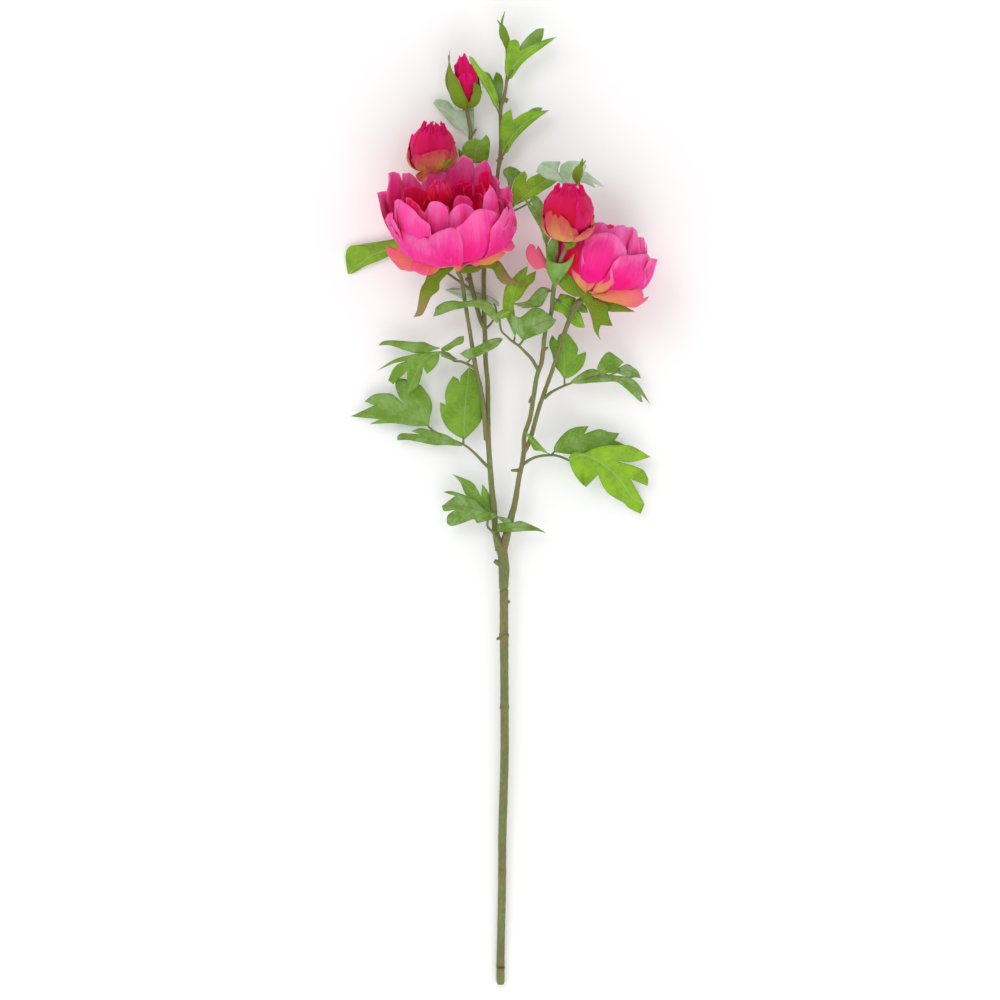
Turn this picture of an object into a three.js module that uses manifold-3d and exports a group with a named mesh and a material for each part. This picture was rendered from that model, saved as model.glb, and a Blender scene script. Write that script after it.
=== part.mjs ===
// A long-stemmed artificial peony spray, lying on a flat surface: one branching stem,
// divided leaves with cut edges, two open blooms, two half-open buds, one closed bud
// and two tiny green buds. Millimetres. +Y runs along the stem towards the flowers,
// +Z is up from the surface, and the surface is z = 0.

import * as THREE from 'three';
import { mergeVertices } from 'three/addons/utils/BufferGeometryUtils.js';
import Module from 'manifold-3d';

const wasm = await Module();
wasm.setup();

// ---------------------------------------------------------------- driving dimensions

const LEAF_THICKNESS = 0.9;      // measured straight up through a leaf blade
const PETAL_THICKNESS = 0.8;
const ROOT_RADIUS = 1.2;         // where a leaflet grows from its stalk
const ROOT_LENGTH = 6;
const STALK_REACH = 6;          // how near its base a leaflet looks for a stalk's end
const SMOOTHING = 0.05;          // faces flatter than this are joined up
const CLEARANCE = 0.25;          // air between two pieces that meet
const STEM_SIDES = 7;
const TWIG_SIDES = 3;
const HUB_HEIGHT = 3.2;          // disc that a ring of petals grows from
const HUB_GAP = 0.25;
const SURFACE = 0;               // height of what the spray lies on

// ---------------------------------------------------------------- vectors and solids

const vec = (x, y, z) => new THREE.Vector3(x, y, z);
const UP = vec(0, 0, 1);

function solidOf(geometry) {
  const bare = new THREE.BufferGeometry();
  bare.setAttribute('position', geometry.getAttribute('position'));
  if (geometry.index) {
    bare.setIndex(geometry.index);
  }
  const merged = mergeVertices(bare, 1e-4);
  const mesh = new wasm.Mesh({
    numProp: 3,
    vertProperties: new Float32Array(merged.getAttribute('position').array),
    triVerts: new Uint32Array(merged.index.array),
  });
  return new wasm.Manifold(mesh);
}

function joined(solids) {
  return solids.reduce((whole, next) => whole.add(next));
}

function largestBody(solid) {
  const bodies = solid.decompose();
  return bodies.reduce((best, body) => (body.volume() > best.volume() ? body : best));
}

function geometryOf(solid) {
  const mesh = solid.getMesh();
  const geometry = new THREE.BufferGeometry();
  geometry.setAttribute('position', new THREE.BufferAttribute(mesh.vertProperties, 3));
  geometry.setIndex(new THREE.BufferAttribute(mesh.triVerts, 1));
  return geometry;
}

// A closed slab between two copies of one triangulated sheet. Both faces are split
// alike, and rim lists the sheet's outline in order.
function slabGeometry(upper, lower, faces, rim) {
  const count = upper.length;
  const positions = [];
  for (const point of [...upper, ...lower]) {
    positions.push(point.x, point.y, point.z);
  }
  const index = [];
  for (const [a, b, c] of faces) {
    index.push(a, b, c);
    index.push(c + count, b + count, a + count);
  }
  rim.forEach((a, i) => {
    const b = rim[(i + 1) % rim.length];
    index.push(a, a + count, b);
    index.push(b, a + count, b + count);
  });
  const geometry = new THREE.BufferGeometry();
  geometry.setAttribute('position', new THREE.Float32BufferAttribute(positions, 3));
  geometry.setIndex(index);
  return geometry;
}

// ---------------------------------------------------------------- stems

// A many-sided tube through points [x, y, z, radius], closed at both ends. Its sides
// enclose as much as a round stem of that radius would.
function tubeGeometry(route, sides, extra = 0) {
  const centres = route.map(([x, y, z]) => vec(x, y, z));
  const positions = [];
  const index = [];
  const swell = Math.sqrt((2 * Math.PI) / (sides * Math.sin((2 * Math.PI) / sides)));
  let side = vec(1, 0, 0);
  route.forEach(([, , , radius], i) => {
    const before = centres[Math.max(i - 1, 0)];
    const after = centres[Math.min(i + 1, centres.length - 1)];
    const along = after.clone().sub(before).normalize();
    side = side.clone().addScaledVector(along, -side.dot(along)).normalize();
    const across = along.clone().cross(side);
    for (let k = 0; k < sides; k += 1) {
      const turn = (2 * Math.PI * k) / sides;
      const point = centres[i].clone();
      point.addScaledVector(side, (radius + extra) * swell * Math.cos(turn));
      point.addScaledVector(across, (radius + extra) * swell * Math.sin(turn));
      positions.push(point.x, point.y, point.z);
    }
  });
  const last = route.length - 1;
  for (let i = 0; i < last; i += 1) {
    for (let k = 0; k < sides; k += 1) {
      const a = i * sides + k;
      const b = i * sides + ((k + 1) % sides);
      index.push(a, b, a + sides);
      index.push(b, b + sides, a + sides);
    }
  }
  for (let k = 1; k < sides - 1; k += 1) {
    index.push(0, k + 1, k);
    index.push(last * sides, last * sides + k, last * sides + k + 1);
  }
  const geometry = new THREE.BufferGeometry();
  geometry.setAttribute('position', new THREE.Float32BufferAttribute(positions, 3));
  geometry.setIndex(index);
  return geometry;
}

// Each route is a list of [x, y, z, radius].
const TRUNK = [
  [0.5, -486, 4.2, 3.3], [0.5, -482, 4.5, 4.1], [0.5, -469, 5, 4.0], [0.5, -468, 4.9, 4.6],
  [0.5, -465, 5, 4.1], [1.5, -415, 7.1, 4.0], [1.6, -413, 7.1, 4.6], [1.7, -410, 7.2, 4.0],
  [2.2, -373, 8.8, 4.1], [2.2, -371, 8.9, 4.6], [2.2, -368, 9, 4.1], [2.5, -330, 10.4, 4.2],
  [4.5, -260, 13.2, 4.3], [4.5, -210, 15.2, 4.3], [4.5, -208, 15.3, 5.0], [4.5, -205, 15.4, 4.3],
  [4.1, -138, 18.1, 4.4], [4, -136, 18.2, 5.3], [4, -132, 18.3, 4.5], [4, -93, 19.8, 4.5],
  [3.8, -90.5, 19.9, 5.3], [3.6, -88, 20, 4.7], [4, -70, 20.8, 5.6], [3.2, -58, 21.2, 5.2],
  [1, -47, 21.6, 5.6],
];
const LEFT_BRANCH = [
  [0, -50, 21.6, 4.8], [-4.6, -30, 22, 3.3], [-6, -7, 22.5, 3.0], [-8.2, 11, 23, 2.9],
  [-10.3, 39, 23.5, 2.7], [-12, 62, 24, 2.7],
];
const CENTRE_STEM = [
  [-11.6, 58, 24, 2.6], [-12, 83, 24, 2.5], [-12.3, 115, 23, 2.4], [-14.4, 139, 21, 2.4],
  [-15, 164, 19, 2.4], [-15.7, 178, 17, 2.3], [-16, 204, 12.5, 2.3], [-16, 232, 8.5, 2.3],
  [-11, 270, 6.5, 2.2], [-3.6, 317, 8, 2.0], [-1.8, 331, 10, 2.0], [0, 342, 12, 2.2],
  [0.8, 360, 16, 1.8], [0.7, 390, 20, 1.8], [3.6, 402, 22, 1.9], [6.7, 420, 24, 1.5],
  [6.7, 454, 26, 1.3],
];
const BLOOM_A_STALK = [
  [-14, 60, 25, 2.3], [-15, 77, 27, 2.4], [-18, 104, 29.5, 2.3], [-24, 131, 32, 2.2],
  [-28, 155, 34, 2.1], [-32, 180, 36, 2.0], [-35.5, 201, 37.5, 2.0], [-38.3, 220, 38.8, 2.1],
  [-42.1, 228, 41, 2.4],
];
const BUD_C_STEM = [
  [-15.4, 172, 17.8, 2.3], [-20, 182, 16, 2.3], [-27.5, 210, 11, 2.3], [-31, 226, 8, 2.3],
  [-35, 245, 4.2, 2.2], [-38, 265, 2.5, 2.2], [-40, 287, 2.5, 2.2], [-52, 308, 8, 2.0],
  [-68, 324, 17.5, 2.1],
];
const BUD_E_STALK = [
  [-39, 282, 2.6, 2.1], [-37, 320, 7, 2.0], [-29.5, 361, 15, 1.9], [-32.6, 388, 22.6, 2.0], [-33.4, 391.6, 24.8, 2.0],
];
const RIGHT_BRANCH = [
  [3, -50, 21.6, 4.6], [11, -18, 22, 3.5], [14, -7, 22.5, 3.1], [16.6, 6.5, 23, 2.8],
  [18.8, 21, 23.5, 2.5], [22, 36, 24, 2.4], [24.5, 52, 24.5, 2.4],
];
const BUD_D_STALK = [
  [24, 48, 24.5, 2.4], [24.5, 65, 26, 2.3], [30.5, 84, 30, 2.3], [36.5, 122, 37, 2.3],
  [41.5, 138, 40.5, 2.3], [45.5, 170, 46, 2.2], [51, 186, 51, 2.2], [53.4, 211, 65, 2.4],
  [57, 226, 80, 2.0], [60, 237, 91, 1.9], [64, 246, 99, 1.9], [66.2, 251.6, 104.6, 1.9],
];
const BLOOM_B_STALK = [
  [23, 46, 24, 2.4], [28, 55, 25, 2.3], [31.5, 65, 26, 2.3], [38, 89, 29, 2.2],
  [44.5, 108, 33, 2.1], [54.6, 136.5, 39, 2.1], [65.4, 170, 47, 2.2], [72, 186, 50.5, 2.6],
  [75.5, 193, 52, 4.0], [79, 197.5, 53.4, 3.6], [83.6, 199, 55, 2.4],
];
const TINY_BUD_G_STALK = [
  [57.5, 229, 83, 1.2], [53, 245, 85, 1.2], [56, 265, 83, 1.2], [63, 286, 80, 1.2],
  [72, 305, 84, 1.2], [77, 315, 88, 1.3],
];
// Moulded stubs and knobs, where a shoot was cut off: [x, y, z, radius] at both ends.
const STUBS = [
  [[3, -137, 18.2, 2.4], [-3.4, -139.5, 19, 1.2]],
  [[5, -101, 19.5, 2.6], [9.8, -102.5, 20, 1.4]],
  [[1, -64, 21, 3.8], [-5.8, -61, 22, 2.0]],
  [[5, 399, 21.5, 2.6], [7.4, 402, 22.6, 1.6]],
  [[-29, 220, 9, 2.8], [-34.8, 222, 9.8, 1.4]],
  [[19, 30, 23.6, 2.0], [11, 29.6, 24, 1.0]],
  [[42.8, 150, 42.5, 2.6], [48, 152, 43.8, 1.0]],
  [[33, 103, 33, 2.6], [29, 97, 33.4, 1.1]],
  [[-28.6, 365, 15.6, 1.5], [-23.7, 371.6, 18, 1.0]],
  [[-2, 339, 11, 2.6], [1.6, 344, 12.6, 2.6]],
];
const STEMS = [
  [TRUNK, STEM_SIDES], [LEFT_BRANCH, STEM_SIDES], [RIGHT_BRANCH, STEM_SIDES],
  [CENTRE_STEM, 6], [BLOOM_A_STALK, 6], [BUD_C_STEM, 5], [BUD_E_STALK, 5],
  [BUD_D_STALK, 5], [BLOOM_B_STALK, 5], [TINY_BUD_G_STALK, TWIG_SIDES],
];

function stemSolid(extra) {
  const tubes = STEMS.map(([route, sides]) => tubeGeometry(route, sides, extra));
  const stubs = STUBS.map((route) => tubeGeometry(route, TWIG_SIDES, extra));
  return joined([...tubes, ...stubs].map(solidOf));
}

// ---------------------------------------------------------------- leaves

// A leaflet is an outline seen from above, counted from its base, with its rib and the
// heights of its base and tip. arch lifts its middle, fold lifts both sides away from
// the rib, and roll lifts one side only. tip is the number of its tip in the outline.
const LEAVES = {
  leaf_01: {
    stalks: [
      [[0.5, -47, 26, 1.9], [-4.5, -36.3, 28, 1.7], [-6.6, -32.6, 28.5, 1.4],
        [-12, -27.2, 29.5, 1.2], [-12.4, -22.2, 31, 1.1], [-9.5, -16.5, 32, 1.1]],
      [[-6.6, -32.6, 28.5, 1.2], [-3, -31.6, 28.6, 1.0]],
      [[-12.4, -23, 30.6, 1.1], [-12.6, -18, 24, 1.0], [-11.8, -11, 17.5, 1.0]],
    ],
    leaflets: [
      {
        z: [32.5, 21, 2, -0.12, 0], tip: 8,
        rib: [[-21, -9.8], [-38, -6]],
        edge: [[-2, -16.4], [-9, -12.4], [-13.6, -10.6], [-26.9, 1.4], [-37.7, 6.4], [-49.3, 8.9],
          [-56.7, 7.8], [-45.1, 4.3], [-57.6, -6.5], [-56.3, -11], [-45.1, -9.8], [-52.2, -14.8],
          [-53.4, -23.1], [-48.4, -26], [-36.8, -22.7], [-26, -19.3], [-22.7, -23.1],
          [-13.6, -20.6], [-7, -18.9]],
      },
      {
        z: [17, 20, 2, 0.1, 0], tip: 8,
        rib: [[-20, 0], [-33, 14]],
        edge: [[-8.4, -13.1], [-8.6, -5.7], [-10.3, 2.6], [-12.8, 10.1], [-17.9, 16.5],
          [-18.6, 4], [-26.9, 16.7], [-36.8, 22.5], [-47.6, 26.1], [-40.1, 17.6], [-33.5, 5.1],
          [-23.6, -3.2], [-13.6, -10.6]],
      },
      {
        z: [28.8, 22, 3, -0.1, 0], tip: 6,
        rib: [[14, -27], [30, -28]],
        edge: [[-4.5, -32.2], [-1.6, -23.9], [4.6, -23.1], [13.7, -22.2], [21.2, -21], [37.8, -28.5],
          [45.7, -33], [37, -31.4], [26.2, -30.9], [12.9, -31.8]],
      },
      {
        z: [32.5, 26, 1, -0.1, 0], tip: 4,
        rib: [[4, -19.5]],
        edge: [[-5, -16], [3, -17.4], [9.6, -18.9], [12.5, -23.1], [11.7, -27.6], [6.3, -25.1],
          [1.3, -21.4]],
      },
    ],
  },
  leaf_02: {
    stalks: [
      [[-11.2, 32.5, 24, 1.8], [-17, 38, 23.5, 1.6], [-25.5, 47, 22.5, 1.3], [-36.4, 55.5, 21, 1.1],
        [-55, 63, 19, 1.1], [-68.2, 70.4, 18, 1.1], [-73, 75.5, 18.5, 1.0]],
      [[-36.8, 55.8, 21, 1.1], [-36.6, 62.5, 20, 1.0]],
    ],
    leaflets: [
      {
        z: [19.5, 16, 1, 0.08, 0], tip: 13,
        rib: [[-36, 80], [-34, 104]],
        edge: [[-36.5, 61.2], [-42.7, 63.8], [-51.8, 71.4], [-58, 80.6], [-60.5, 90.8],
          [-59.5, 98], [-54.4, 94.9], [-54.9, 106.1], [-51.8, 116.3], [-46.7, 123.8],
          [-41.6, 120.9], [-40.4, 117.3], [-38.6, 124.5], [-31, 133], [-24.3, 127.6],
          [-20.2, 114.3], [-17.6, 99], [-17.9, 81.6], [-24.3, 72.4], [-33.5, 62.2]],
      },
      {
        z: [21.5, 10, 4, -0.15, 0], tip: 8,
        rib: [[-60, 61], [-84, 63.5]],
        edge: [[-36.5, 55.6], [-42.7, 58.7], [-52.9, 64.8], [-70.2, 70.4], [-80.4, 71.9],
          [-89.3, 69.4], [-80.4, 66], [-98.8, 67.1], [-102.9, 63.8], [-102.7, 60],
          [-90.6, 60.2], [-66.1, 55.1], [-52.9, 54.9], [-38.6, 53.9]],
      },
      {
        z: [19, 5, 4, -0.08, 0.06], tip: 15,
        rib: [[-88.6, 82.5], [-110, 86], [-130, 87.5]],
        edge: [[-71.2, 75], [-69.7, 82.7], [-68.2, 91.8], [-69.2, 100], [-73.3, 107.1],
          [-81.4, 115.8], [-99.8, 122.4], [-105.4, 117.3], [-101.8, 105.1], [-95.7, 95.9],
          [-108, 106.1], [-115.1, 107.4], [-126.3, 105.6], [-135.5, 99.3], [-126.3, 95.2],
          [-150.5, 83.9], [-132.4, 82.1], [-121, 80.6], [-131.4, 75.5], [-109, 77.4],
          [-98.8, 75.5], [-86.5, 73.5], [-75.3, 74]],
      },
    ],
  },
  leaf_03: {
    stalks: [
      [[-25.4, 132, 31.5, 1.7], [-34.3, 136.7, 31, 1.3], [-40, 138.7, 30, 1.2],
        [-45.8, 139.1, 28.5, 1.2], [-50.6, 143.4, 27, 1.1], [-58.5, 151, 25, 1.1]],
      [[-34.3, 136.7, 31, 1.1], [-31.5, 138.6, 36, 1.0], [-28, 142, 38.5, 0.9]],
    ],
    leaflets: [
      {
        z: [25.5, 15, 4, -0.25, 0], tip: 7,
        rib: [[-76, 153], [-100, 156]],
        edge: [[-58.7, 151.6], [-68.8, 154.9], [-76.4, 157.8], [-85, 157.8], [-93.6, 158.8],
          [-108.9, 160.2], [-116.6, 158.8], [-122.5, 154.6], [-110.9, 155.2], [-101.3, 152.5],
          [-91.7, 149.2], [-84.1, 146.8], [-72.6, 148.2]],
      },
      {
        z: [24.5, 18, 4, -0.1, 0], tip: 13,
        rib: [[-77, 140.5], [-86, 122]],
        edge: [[-59.5, 149], [-73.3, 148], [-86.5, 145.9], [-98.8, 142.9], [-109, 138.8],
          [-123.8, 128.6], [-105.9, 137], [-93.7, 139.4], [-101.8, 136.2], [-107.4, 130.6],
          [-111.5, 120.4], [-107.4, 116.3], [-93.2, 128.6], [-93.2, 105.6], [-88.6, 108.2],
          [-82.4, 115.3], [-78.4, 125.5], [-77.3, 132.7], [-72.8, 125.5], [-67.1, 130.6],
          [-62, 137.8]],
      },
      {
        z: [25.5, 30, 1, 0.1, 0], tip: 3,
        rib: [[-46, 157]],
        edge: [[-59.2, 151.8], [-48.7, 157.8], [-42, 162.6], [-36.2, 164.5], [-37.2, 156.8],
          [-43.9, 153.5], [-53.4, 149.4]],
      },
      {
        z: [24.5, 24, 0, -0.1, 0], tip: 3,
        rib: [[-50, 143.2]],
        edge: [[-59.5, 149.2], [-52.5, 147.8], [-46.7, 144.4], [-41.8, 140.6], [-47.7, 139.6],
          [-54.4, 141.5], [-59.2, 143.5]],
      },
      {
        z: [38.6, 39, 2, -0.1, 0], tip: 3,
        rib: [[-16, 151.5]],
        edge: [[-30.5, 140.2], [-12.3, 148.2], [-1.8, 154], [3.4, 161], [-1.8, 162.1],
          [-11.3, 159.7], [-21.9, 154], [-34.3, 150.1], [-39.6, 146.5], [-34.3, 142.5]],
      },
    ],
  },
  leaf_04: {
    stalks: [
      [[38, 130, 39.5, 1.9], [31.9, 140.3, 42, 1.7], [25.4, 147.3, 43, 1.5], [18.9, 153.8, 44, 1.3],
        [12.4, 158.1, 44.5, 1.2], [7, 163, 45, 1.1], [1.6, 168.4, 45.5, 1.1], [0, 175, 46, 1.1],
        [-0.6, 181.5, 46.5, 1.1]],
      [[18.9, 153.8, 44, 1.2], [23.5, 160, 46.6, 1.0]],
      [[13.6, 157, 44.4, 1.1], [14.8, 162.5, 41, 1.0]],
    ],
    leaflets: [
      {
        z: [47, 41, 3, -0.12, 0], tip: 9,
        rib: [[-12, 194], [-36, 195.5]],
        edge: [[-0.6, 180], [-5, 190], [-12.5, 198], [-22.3, 200.4], [-37.5, 198.3],
          [-48.3, 199.3], [-57, 196.6], [-63.5, 192.3], [-65.1, 188], [-67, 182.8],
          [-59.2, 185.3], [-48.3, 189], [-37.5, 191.2], [-28.8, 193.4], [-20.1, 190.7],
          [-11.5, 183.6], [-2.8, 176.5]],
      },
      {
        z: [47, 50, 0, 0.1, 0], tip: 3,
        rib: [[4, 185.5]],
        edge: [[-1.2, 179.6], [-2.8, 187], [3.7, 189.6], [10.8, 188.5], [10.2, 184.7],
          [5.9, 181.5]],
      },
      {
        z: [46.5, 62, 1, 0.03, 0], tip: 7,
        rib: [[30, 171], [44, 178]],
        edge: [[22.7, 159.2], [16.7, 166.3], [11.3, 175], [10.8, 185.8], [20, 181.5],
          [31.9, 190.7], [39.5, 191.2], [56.3, 179.3], [52.5, 172.8], [43.8, 167.4], [33, 163]],
      },
      {
        z: [40.6, 36, 1, 0.05, 0], tip: 7,
        rib: [[10, 184], [14, 208]],
        edge: [[14.6, 161.9], [10.2, 174], [3, 191], [3.7, 207.5], [5.9, 214], [13.5, 222.7],
          [20, 229], [28.1, 233.5], [26.4, 223.7], [36, 229], [34.1, 219.4], [27.6, 212.9],
          [20, 201], [14, 196], [15.6, 179.3], [16.7, 169.5]],
      },
    ],
  },
  leaf_05: {
    stalks: [
      [[44, 101.5, 32.5, 1.8], [50.7, 107.3, 33.5, 1.5], [57.6, 111.1, 34, 1.3],
        [65.2, 114.6, 34.5, 1.2], [72, 117, 35, 1.0]],
      [[64.6, 114.4, 34.4, 1.1], [64.4, 121.5, 34, 0.9]],
      [[84, 119.5, 36, 0.9], [95, 123, 35.5, 0.9], [103, 127, 34, 0.8]],
      [[95, 122.6, 35.5, 0.9], [108, 124.5, 33, 0.9], [119, 128.5, 31, 0.8]],
    ],
    leaflets: [
      {
        z: [34, 34, -1, 0.06, 0], tip: 8,
        rib: [[64.5, 136], [64, 152]],
        edge: [[64.5, 121.2], [60.7, 126.4], [55.3, 134.1], [51.5, 145.6], [49.3, 156.3],
          [52.2, 165.2], [57, 159], [58.7, 164.7], [62.6, 167.4], [67.5, 165.8],
          [72.9, 160.1], [77.5, 151.7], [77.4, 145], [85.5, 148.2], [86.4, 143.7],
          [82.8, 134.1], [76.7, 127.2], [70.6, 122.6]],
      },
      {
        z: [35.5, 12, 8, -0.12, 0], tip: 7,
        rib: [[92, 122.5], [116, 121.5], [138, 110]],
        edge: [[70.2, 116.6], [72.1, 120.3], [79.8, 126.1], [87.4, 129.5], [94.3, 131],
          [106.6, 126.4], [134, 120.5], [151.1, 95.5], [141, 106.2], [142.9, 98.5],
          [139.5, 98.9], [131.8, 106.5], [124.2, 113.4], [116.5, 118.2], [105, 118],
          [89.7, 117.3], [76.7, 116.2]],
      },
      {
        z: [35, 27, 1, 0.1, 0], tip: 5,
        rib: [[108, 135]],
        edge: [[101.2, 125.7], [97.4, 131], [100.4, 138.7], [105, 145.6], [109.6, 148.2],
          [123.8, 137.9], [119.6, 134.1], [116.5, 128]],
      },
      {
        z: [31.5, 20, 2, -0.15, 0], tip: 5,
        rib: [[129, 129.5]],
        edge: [[116.8, 126.8], [118.8, 131.8], [127.2, 135.6], [133.3, 133.3], [137.9, 128.7],
          [141.4, 121.9], [134.9, 123], [130.3, 122.4]],
      },
    ],
  },
  leaf_06: {
    stalks: [
      [[22.4, 35, 24, 1.8], [30.4, 40.6, 24.5, 1.5], [38.6, 43.7, 25, 1.3], [46.7, 44.7, 25.5, 1.3],
        [54.9, 44.7, 26, 1.2], [62, 42.7, 26.5, 1.2], [69.5, 39.4, 27, 1.2]],
      [[51, 44.7, 25.8, 1.0], [54.6, 48.6, 24, 0.9]],
      [[51, 44.8, 25.8, 1.0], [48.6, 46, 27.5, 0.9]],
    ],
    leaflets: [
      {
        z: [24, 15, 1, 0.05, 0], tip: 9,
        rib: [[74, 56], [96, 62]],
        edge: [[53.9, 47.8], [53.9, 52.9], [59, 61], [67.1, 69.2], [76.3, 73.3], [88.6, 74.3],
          [84, 65.6], [98.8, 70.7], [110, 68.2], [119.5, 66.6], [115.1, 60], [126.3, 55.4],
          [112, 54], [96.7, 51.5], [85.5, 46.7], [69.2, 45.7], [61, 46.7]],
      },
      {
        z: [27.5, 12, 3, 0.05, 0], tip: 15,
        rib: [[83.5, 45], [101.8, 36.5], [120.2, 20.2], [132, 3]],
        edge: [[69.2, 39.6], [70.2, 44.7], [75.3, 47.8], [83.5, 47.4], [91.6, 50.8],
          [101.8, 54.4], [117.1, 55.4], [132.4, 53.9], [150.8, 43.2], [132.4, 37.8],
          [118, 39.4], [141.6, 31.4], [148.3, 22.2], [147.8, 14.1], [131.4, 20.7],
          [144.7, -4.3], [141.1, -14], [129.4, -8.4], [123.8, -3.3], [109, 5.9],
          [102.9, 14.1], [97.8, 25.3], [85.8, 13.4], [80.4, 18.2], [73.3, 28.4],
          [70.2, 35.5]],
      },
      {
        z: [28, 33, 1, 0.1, 0], tip: 4,
        rib: [[34, 57]],
        edge: [[49.8, 45.4], [40.6, 48.8], [33.5, 50.3], [30.4, 58], [25.4, 68.4],
          [31.4, 65.1], [37.6, 58], [43.7, 50.8]],
      },
    ],
  },
  leaf_07: {
    stalks: [
      [[-29, 211, 10.5, 1.5], [-42, 220, 11.5, 1.3], [-62, 234, 11, 1.2], [-82, 246, 9, 1.1],
        [-98, 254.4, 7.5, 1.0]],
    ],
    leaflets: [
      {
        z: [7.5, 1.2, 1, 0.04, 0], tip: 9,
        rib: [[-113, 251], [-127, 246.4], [-138, 239]],
        edge: [[-92, 250.6], [-96, 260], [-100.3, 263.3], [-111.5, 261], [-124.3, 259.2],
          [-142.1, 257.4], [-126, 257.2], [-149.8, 255.1], [-154.9, 245.7], [-153.4, 227],
          [-147.2, 227.8], [-135, 235.2], [-121.7, 240.3], [-106.4, 247]],
      },
    ],
  },
  leaf_08: {
    stalks: [
      [[-30, 358, 14.4, 1.5], [-30.8, 364.5, 13, 1.1]],
    ],
    leaflets: [
      {
        z: [12.5, 9, -1, 0.1, 0], tip: 3,
        rib: [[-37, 372], [-50, 387]],
        edge: [[-30.4, 362.5], [-37.5, 369.8], [-45.5, 374.3], [-67.4, 398.4], [-63.8, 402],
          [-52.2, 400.2], [-46.4, 392.1], [-35.7, 390.8], [-26.3, 393], [-25.9, 386.8],
          [-26.3, 374.3], [-27.7, 365.4]],
      },
    ],
  },
  leaf_09: {
    stalks: [
      [[-34, 338, 10.4, 1.4], [-29, 340, 12, 1.1], [-24.6, 344, 14, 1.0]],
    ],
    leaflets: [
      {
        z: [13, 22, 1, 0.08, 0], tip: 7,
        rib: [[-24.5, 351]],
        edge: [[-24.6, 338], [-39, 340.4], [-41.6, 351.8], [-37.8, 349.3], [-36.6, 354.6],
          [-32.1, 360], [-25, 361.8], [-19.2, 360], [-13.8, 365.8], [-10.7, 361.8],
          [-9.8, 356.4], [-10.7, 345.7], [-12.6, 338]],
      },
    ],
  },
  leaf_10: {
    stalks: [
      [[0.5, 386, 19.6, 1.6], [-2, 391, 21, 1.2], [-6, 399, 23, 1.0]],
      [[0.2, 387, 19.8, 1.3], [0, 397, 16, 1.0]],
    ],
    leaflets: [
      {
        z: [21.4, 46, 0, 0.25, 0], tip: 6,
        rib: [[-9, 405], [-19, 423]],
        edge: [[-1.4, 389.6], [-1.8, 401.8], [-6.3, 414.3], [-12.5, 424.1], [-19.6, 432.1],
          [-26.8, 441.1], [-31.3, 443.3], [-30.4, 438.4], [-25, 428.6], [-17.9, 416.1],
          [-11.6, 407.1], [-6, 395]],
      },
      {
        z: [16, 12, 0, 0.06, 0], tip: 7,
        rib: [[-3.5, 410]],
        edge: [[0.4, 394.6], [3.4, 410.7], [3.2, 421.4], [0, 427.2], [-3.6, 429], [-7, 421],
          [-10.7, 427.7], [-17.9, 430.4], [-12.5, 421.4], [-7.1, 410.7], [-2.7, 401.8]],
      },
    ],
  },
  leaf_11: {
    stalks: [
      [[0.4, 343.5, 12.8, 1.8], [3.6, 347, 15.5, 1.4], [8, 355, 19.5, 1.1]],
    ],
    leaflets: [
      {
        z: [16.4, 27, 1, 0.22, 0], tip: 8,
        rib: [[9, 360], [22, 375], [34, 383.4]],
        edge: [[2.4, 347], [0.9, 356.4], [0, 368], [1.3, 378.8], [4.5, 385.9], [10.7, 391.3],
          [13.4, 380.5], [25.9, 388.1], [49.6, 390.5], [42, 385.2], [32.1, 377],
          [21.4, 367.1], [14.3, 359.1], [7.1, 348.4]],
      },
      {
        z: [24, 20, 0, 0.05, 0], tip: 3,
        rib: [[34, 387.6]],
        edge: [[22, 379.5], [27.7, 388.6], [34.8, 393], [42.9, 393.2], [41.1, 389.9],
          [34, 380.5]],
      },
    ],
  },
  leaf_12: {
    stalks: [
      [[6.6, 418, 23.8, 1.4], [9, 423, 26, 1.1], [12.5, 430, 29, 0.9]],
    ],
    leaflets: [
      {
        z: [25.4, 35, 1, 0.22, 0], tip: 9,
        rib: [[14, 435], [30, 449]],
        edge: [[8, 421], [5.4, 428], [4.8, 438], [6.7, 450.9], [9.4, 458], [15.2, 460.1],
          [18.8, 457.1], [19.6, 449], [42, 459.4], [57.1, 463.4], [41.1, 451.3],
          [30.4, 442.9], [21.4, 434.8], [12.5, 422.3]],
      },
      {
        z: [31, 27, 0, 0.06, 0], tip: 4,
        rib: [[32, 460]],
        edge: [[17, 447], [21, 455.4], [27.7, 464.3], [36.6, 471], [44.2, 471.5],
          [42.9, 464.3], [38.8, 456], [28, 448]],
      },
    ],
  },
  leaf_13: {
    stalks: [
      [[-11.6, 266, 7, 1.5], [0, 278, 10, 1.2], [8, 287.6, 15, 1.1], [14.4, 295.6, 20.2, 1.0]],
      [[7.5, 287, 14.6, 1.0], [24.9, 295.3, 17, 0.9], [36, 303.8, 18, 0.7]],
      [[8, 287.6, 14.6, 1.0], [10, 298, 12, 1.0], [10.5, 310, 10.5, 0.9]],
    ],
    leaflets: [
      {
        z: [20, 27, 1, 0.1, 0], tip: 12,
        rib: [[23.5, 303], [35.2, 312.6], [46, 320]],
        edge: [[13.2, 294.2], [11, 297.2], [11.7, 310.4], [15.4, 320.7], [20.5, 327.3],
          [24.9, 329.1], [26.8, 324.3], [25.7, 318.5], [29.3, 322.1], [36.7, 326.5],
          [44, 328.7], [52.8, 328.9], [62, 327.1], [58.7, 320.7], [51.4, 314], [44, 309.6],
          [35.2, 303.8], [25.7, 299.6]],
      },
      {
        z: [11, 8, 0, 0.05, 0], tip: 4,
        rib: [[11, 322]],
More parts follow.
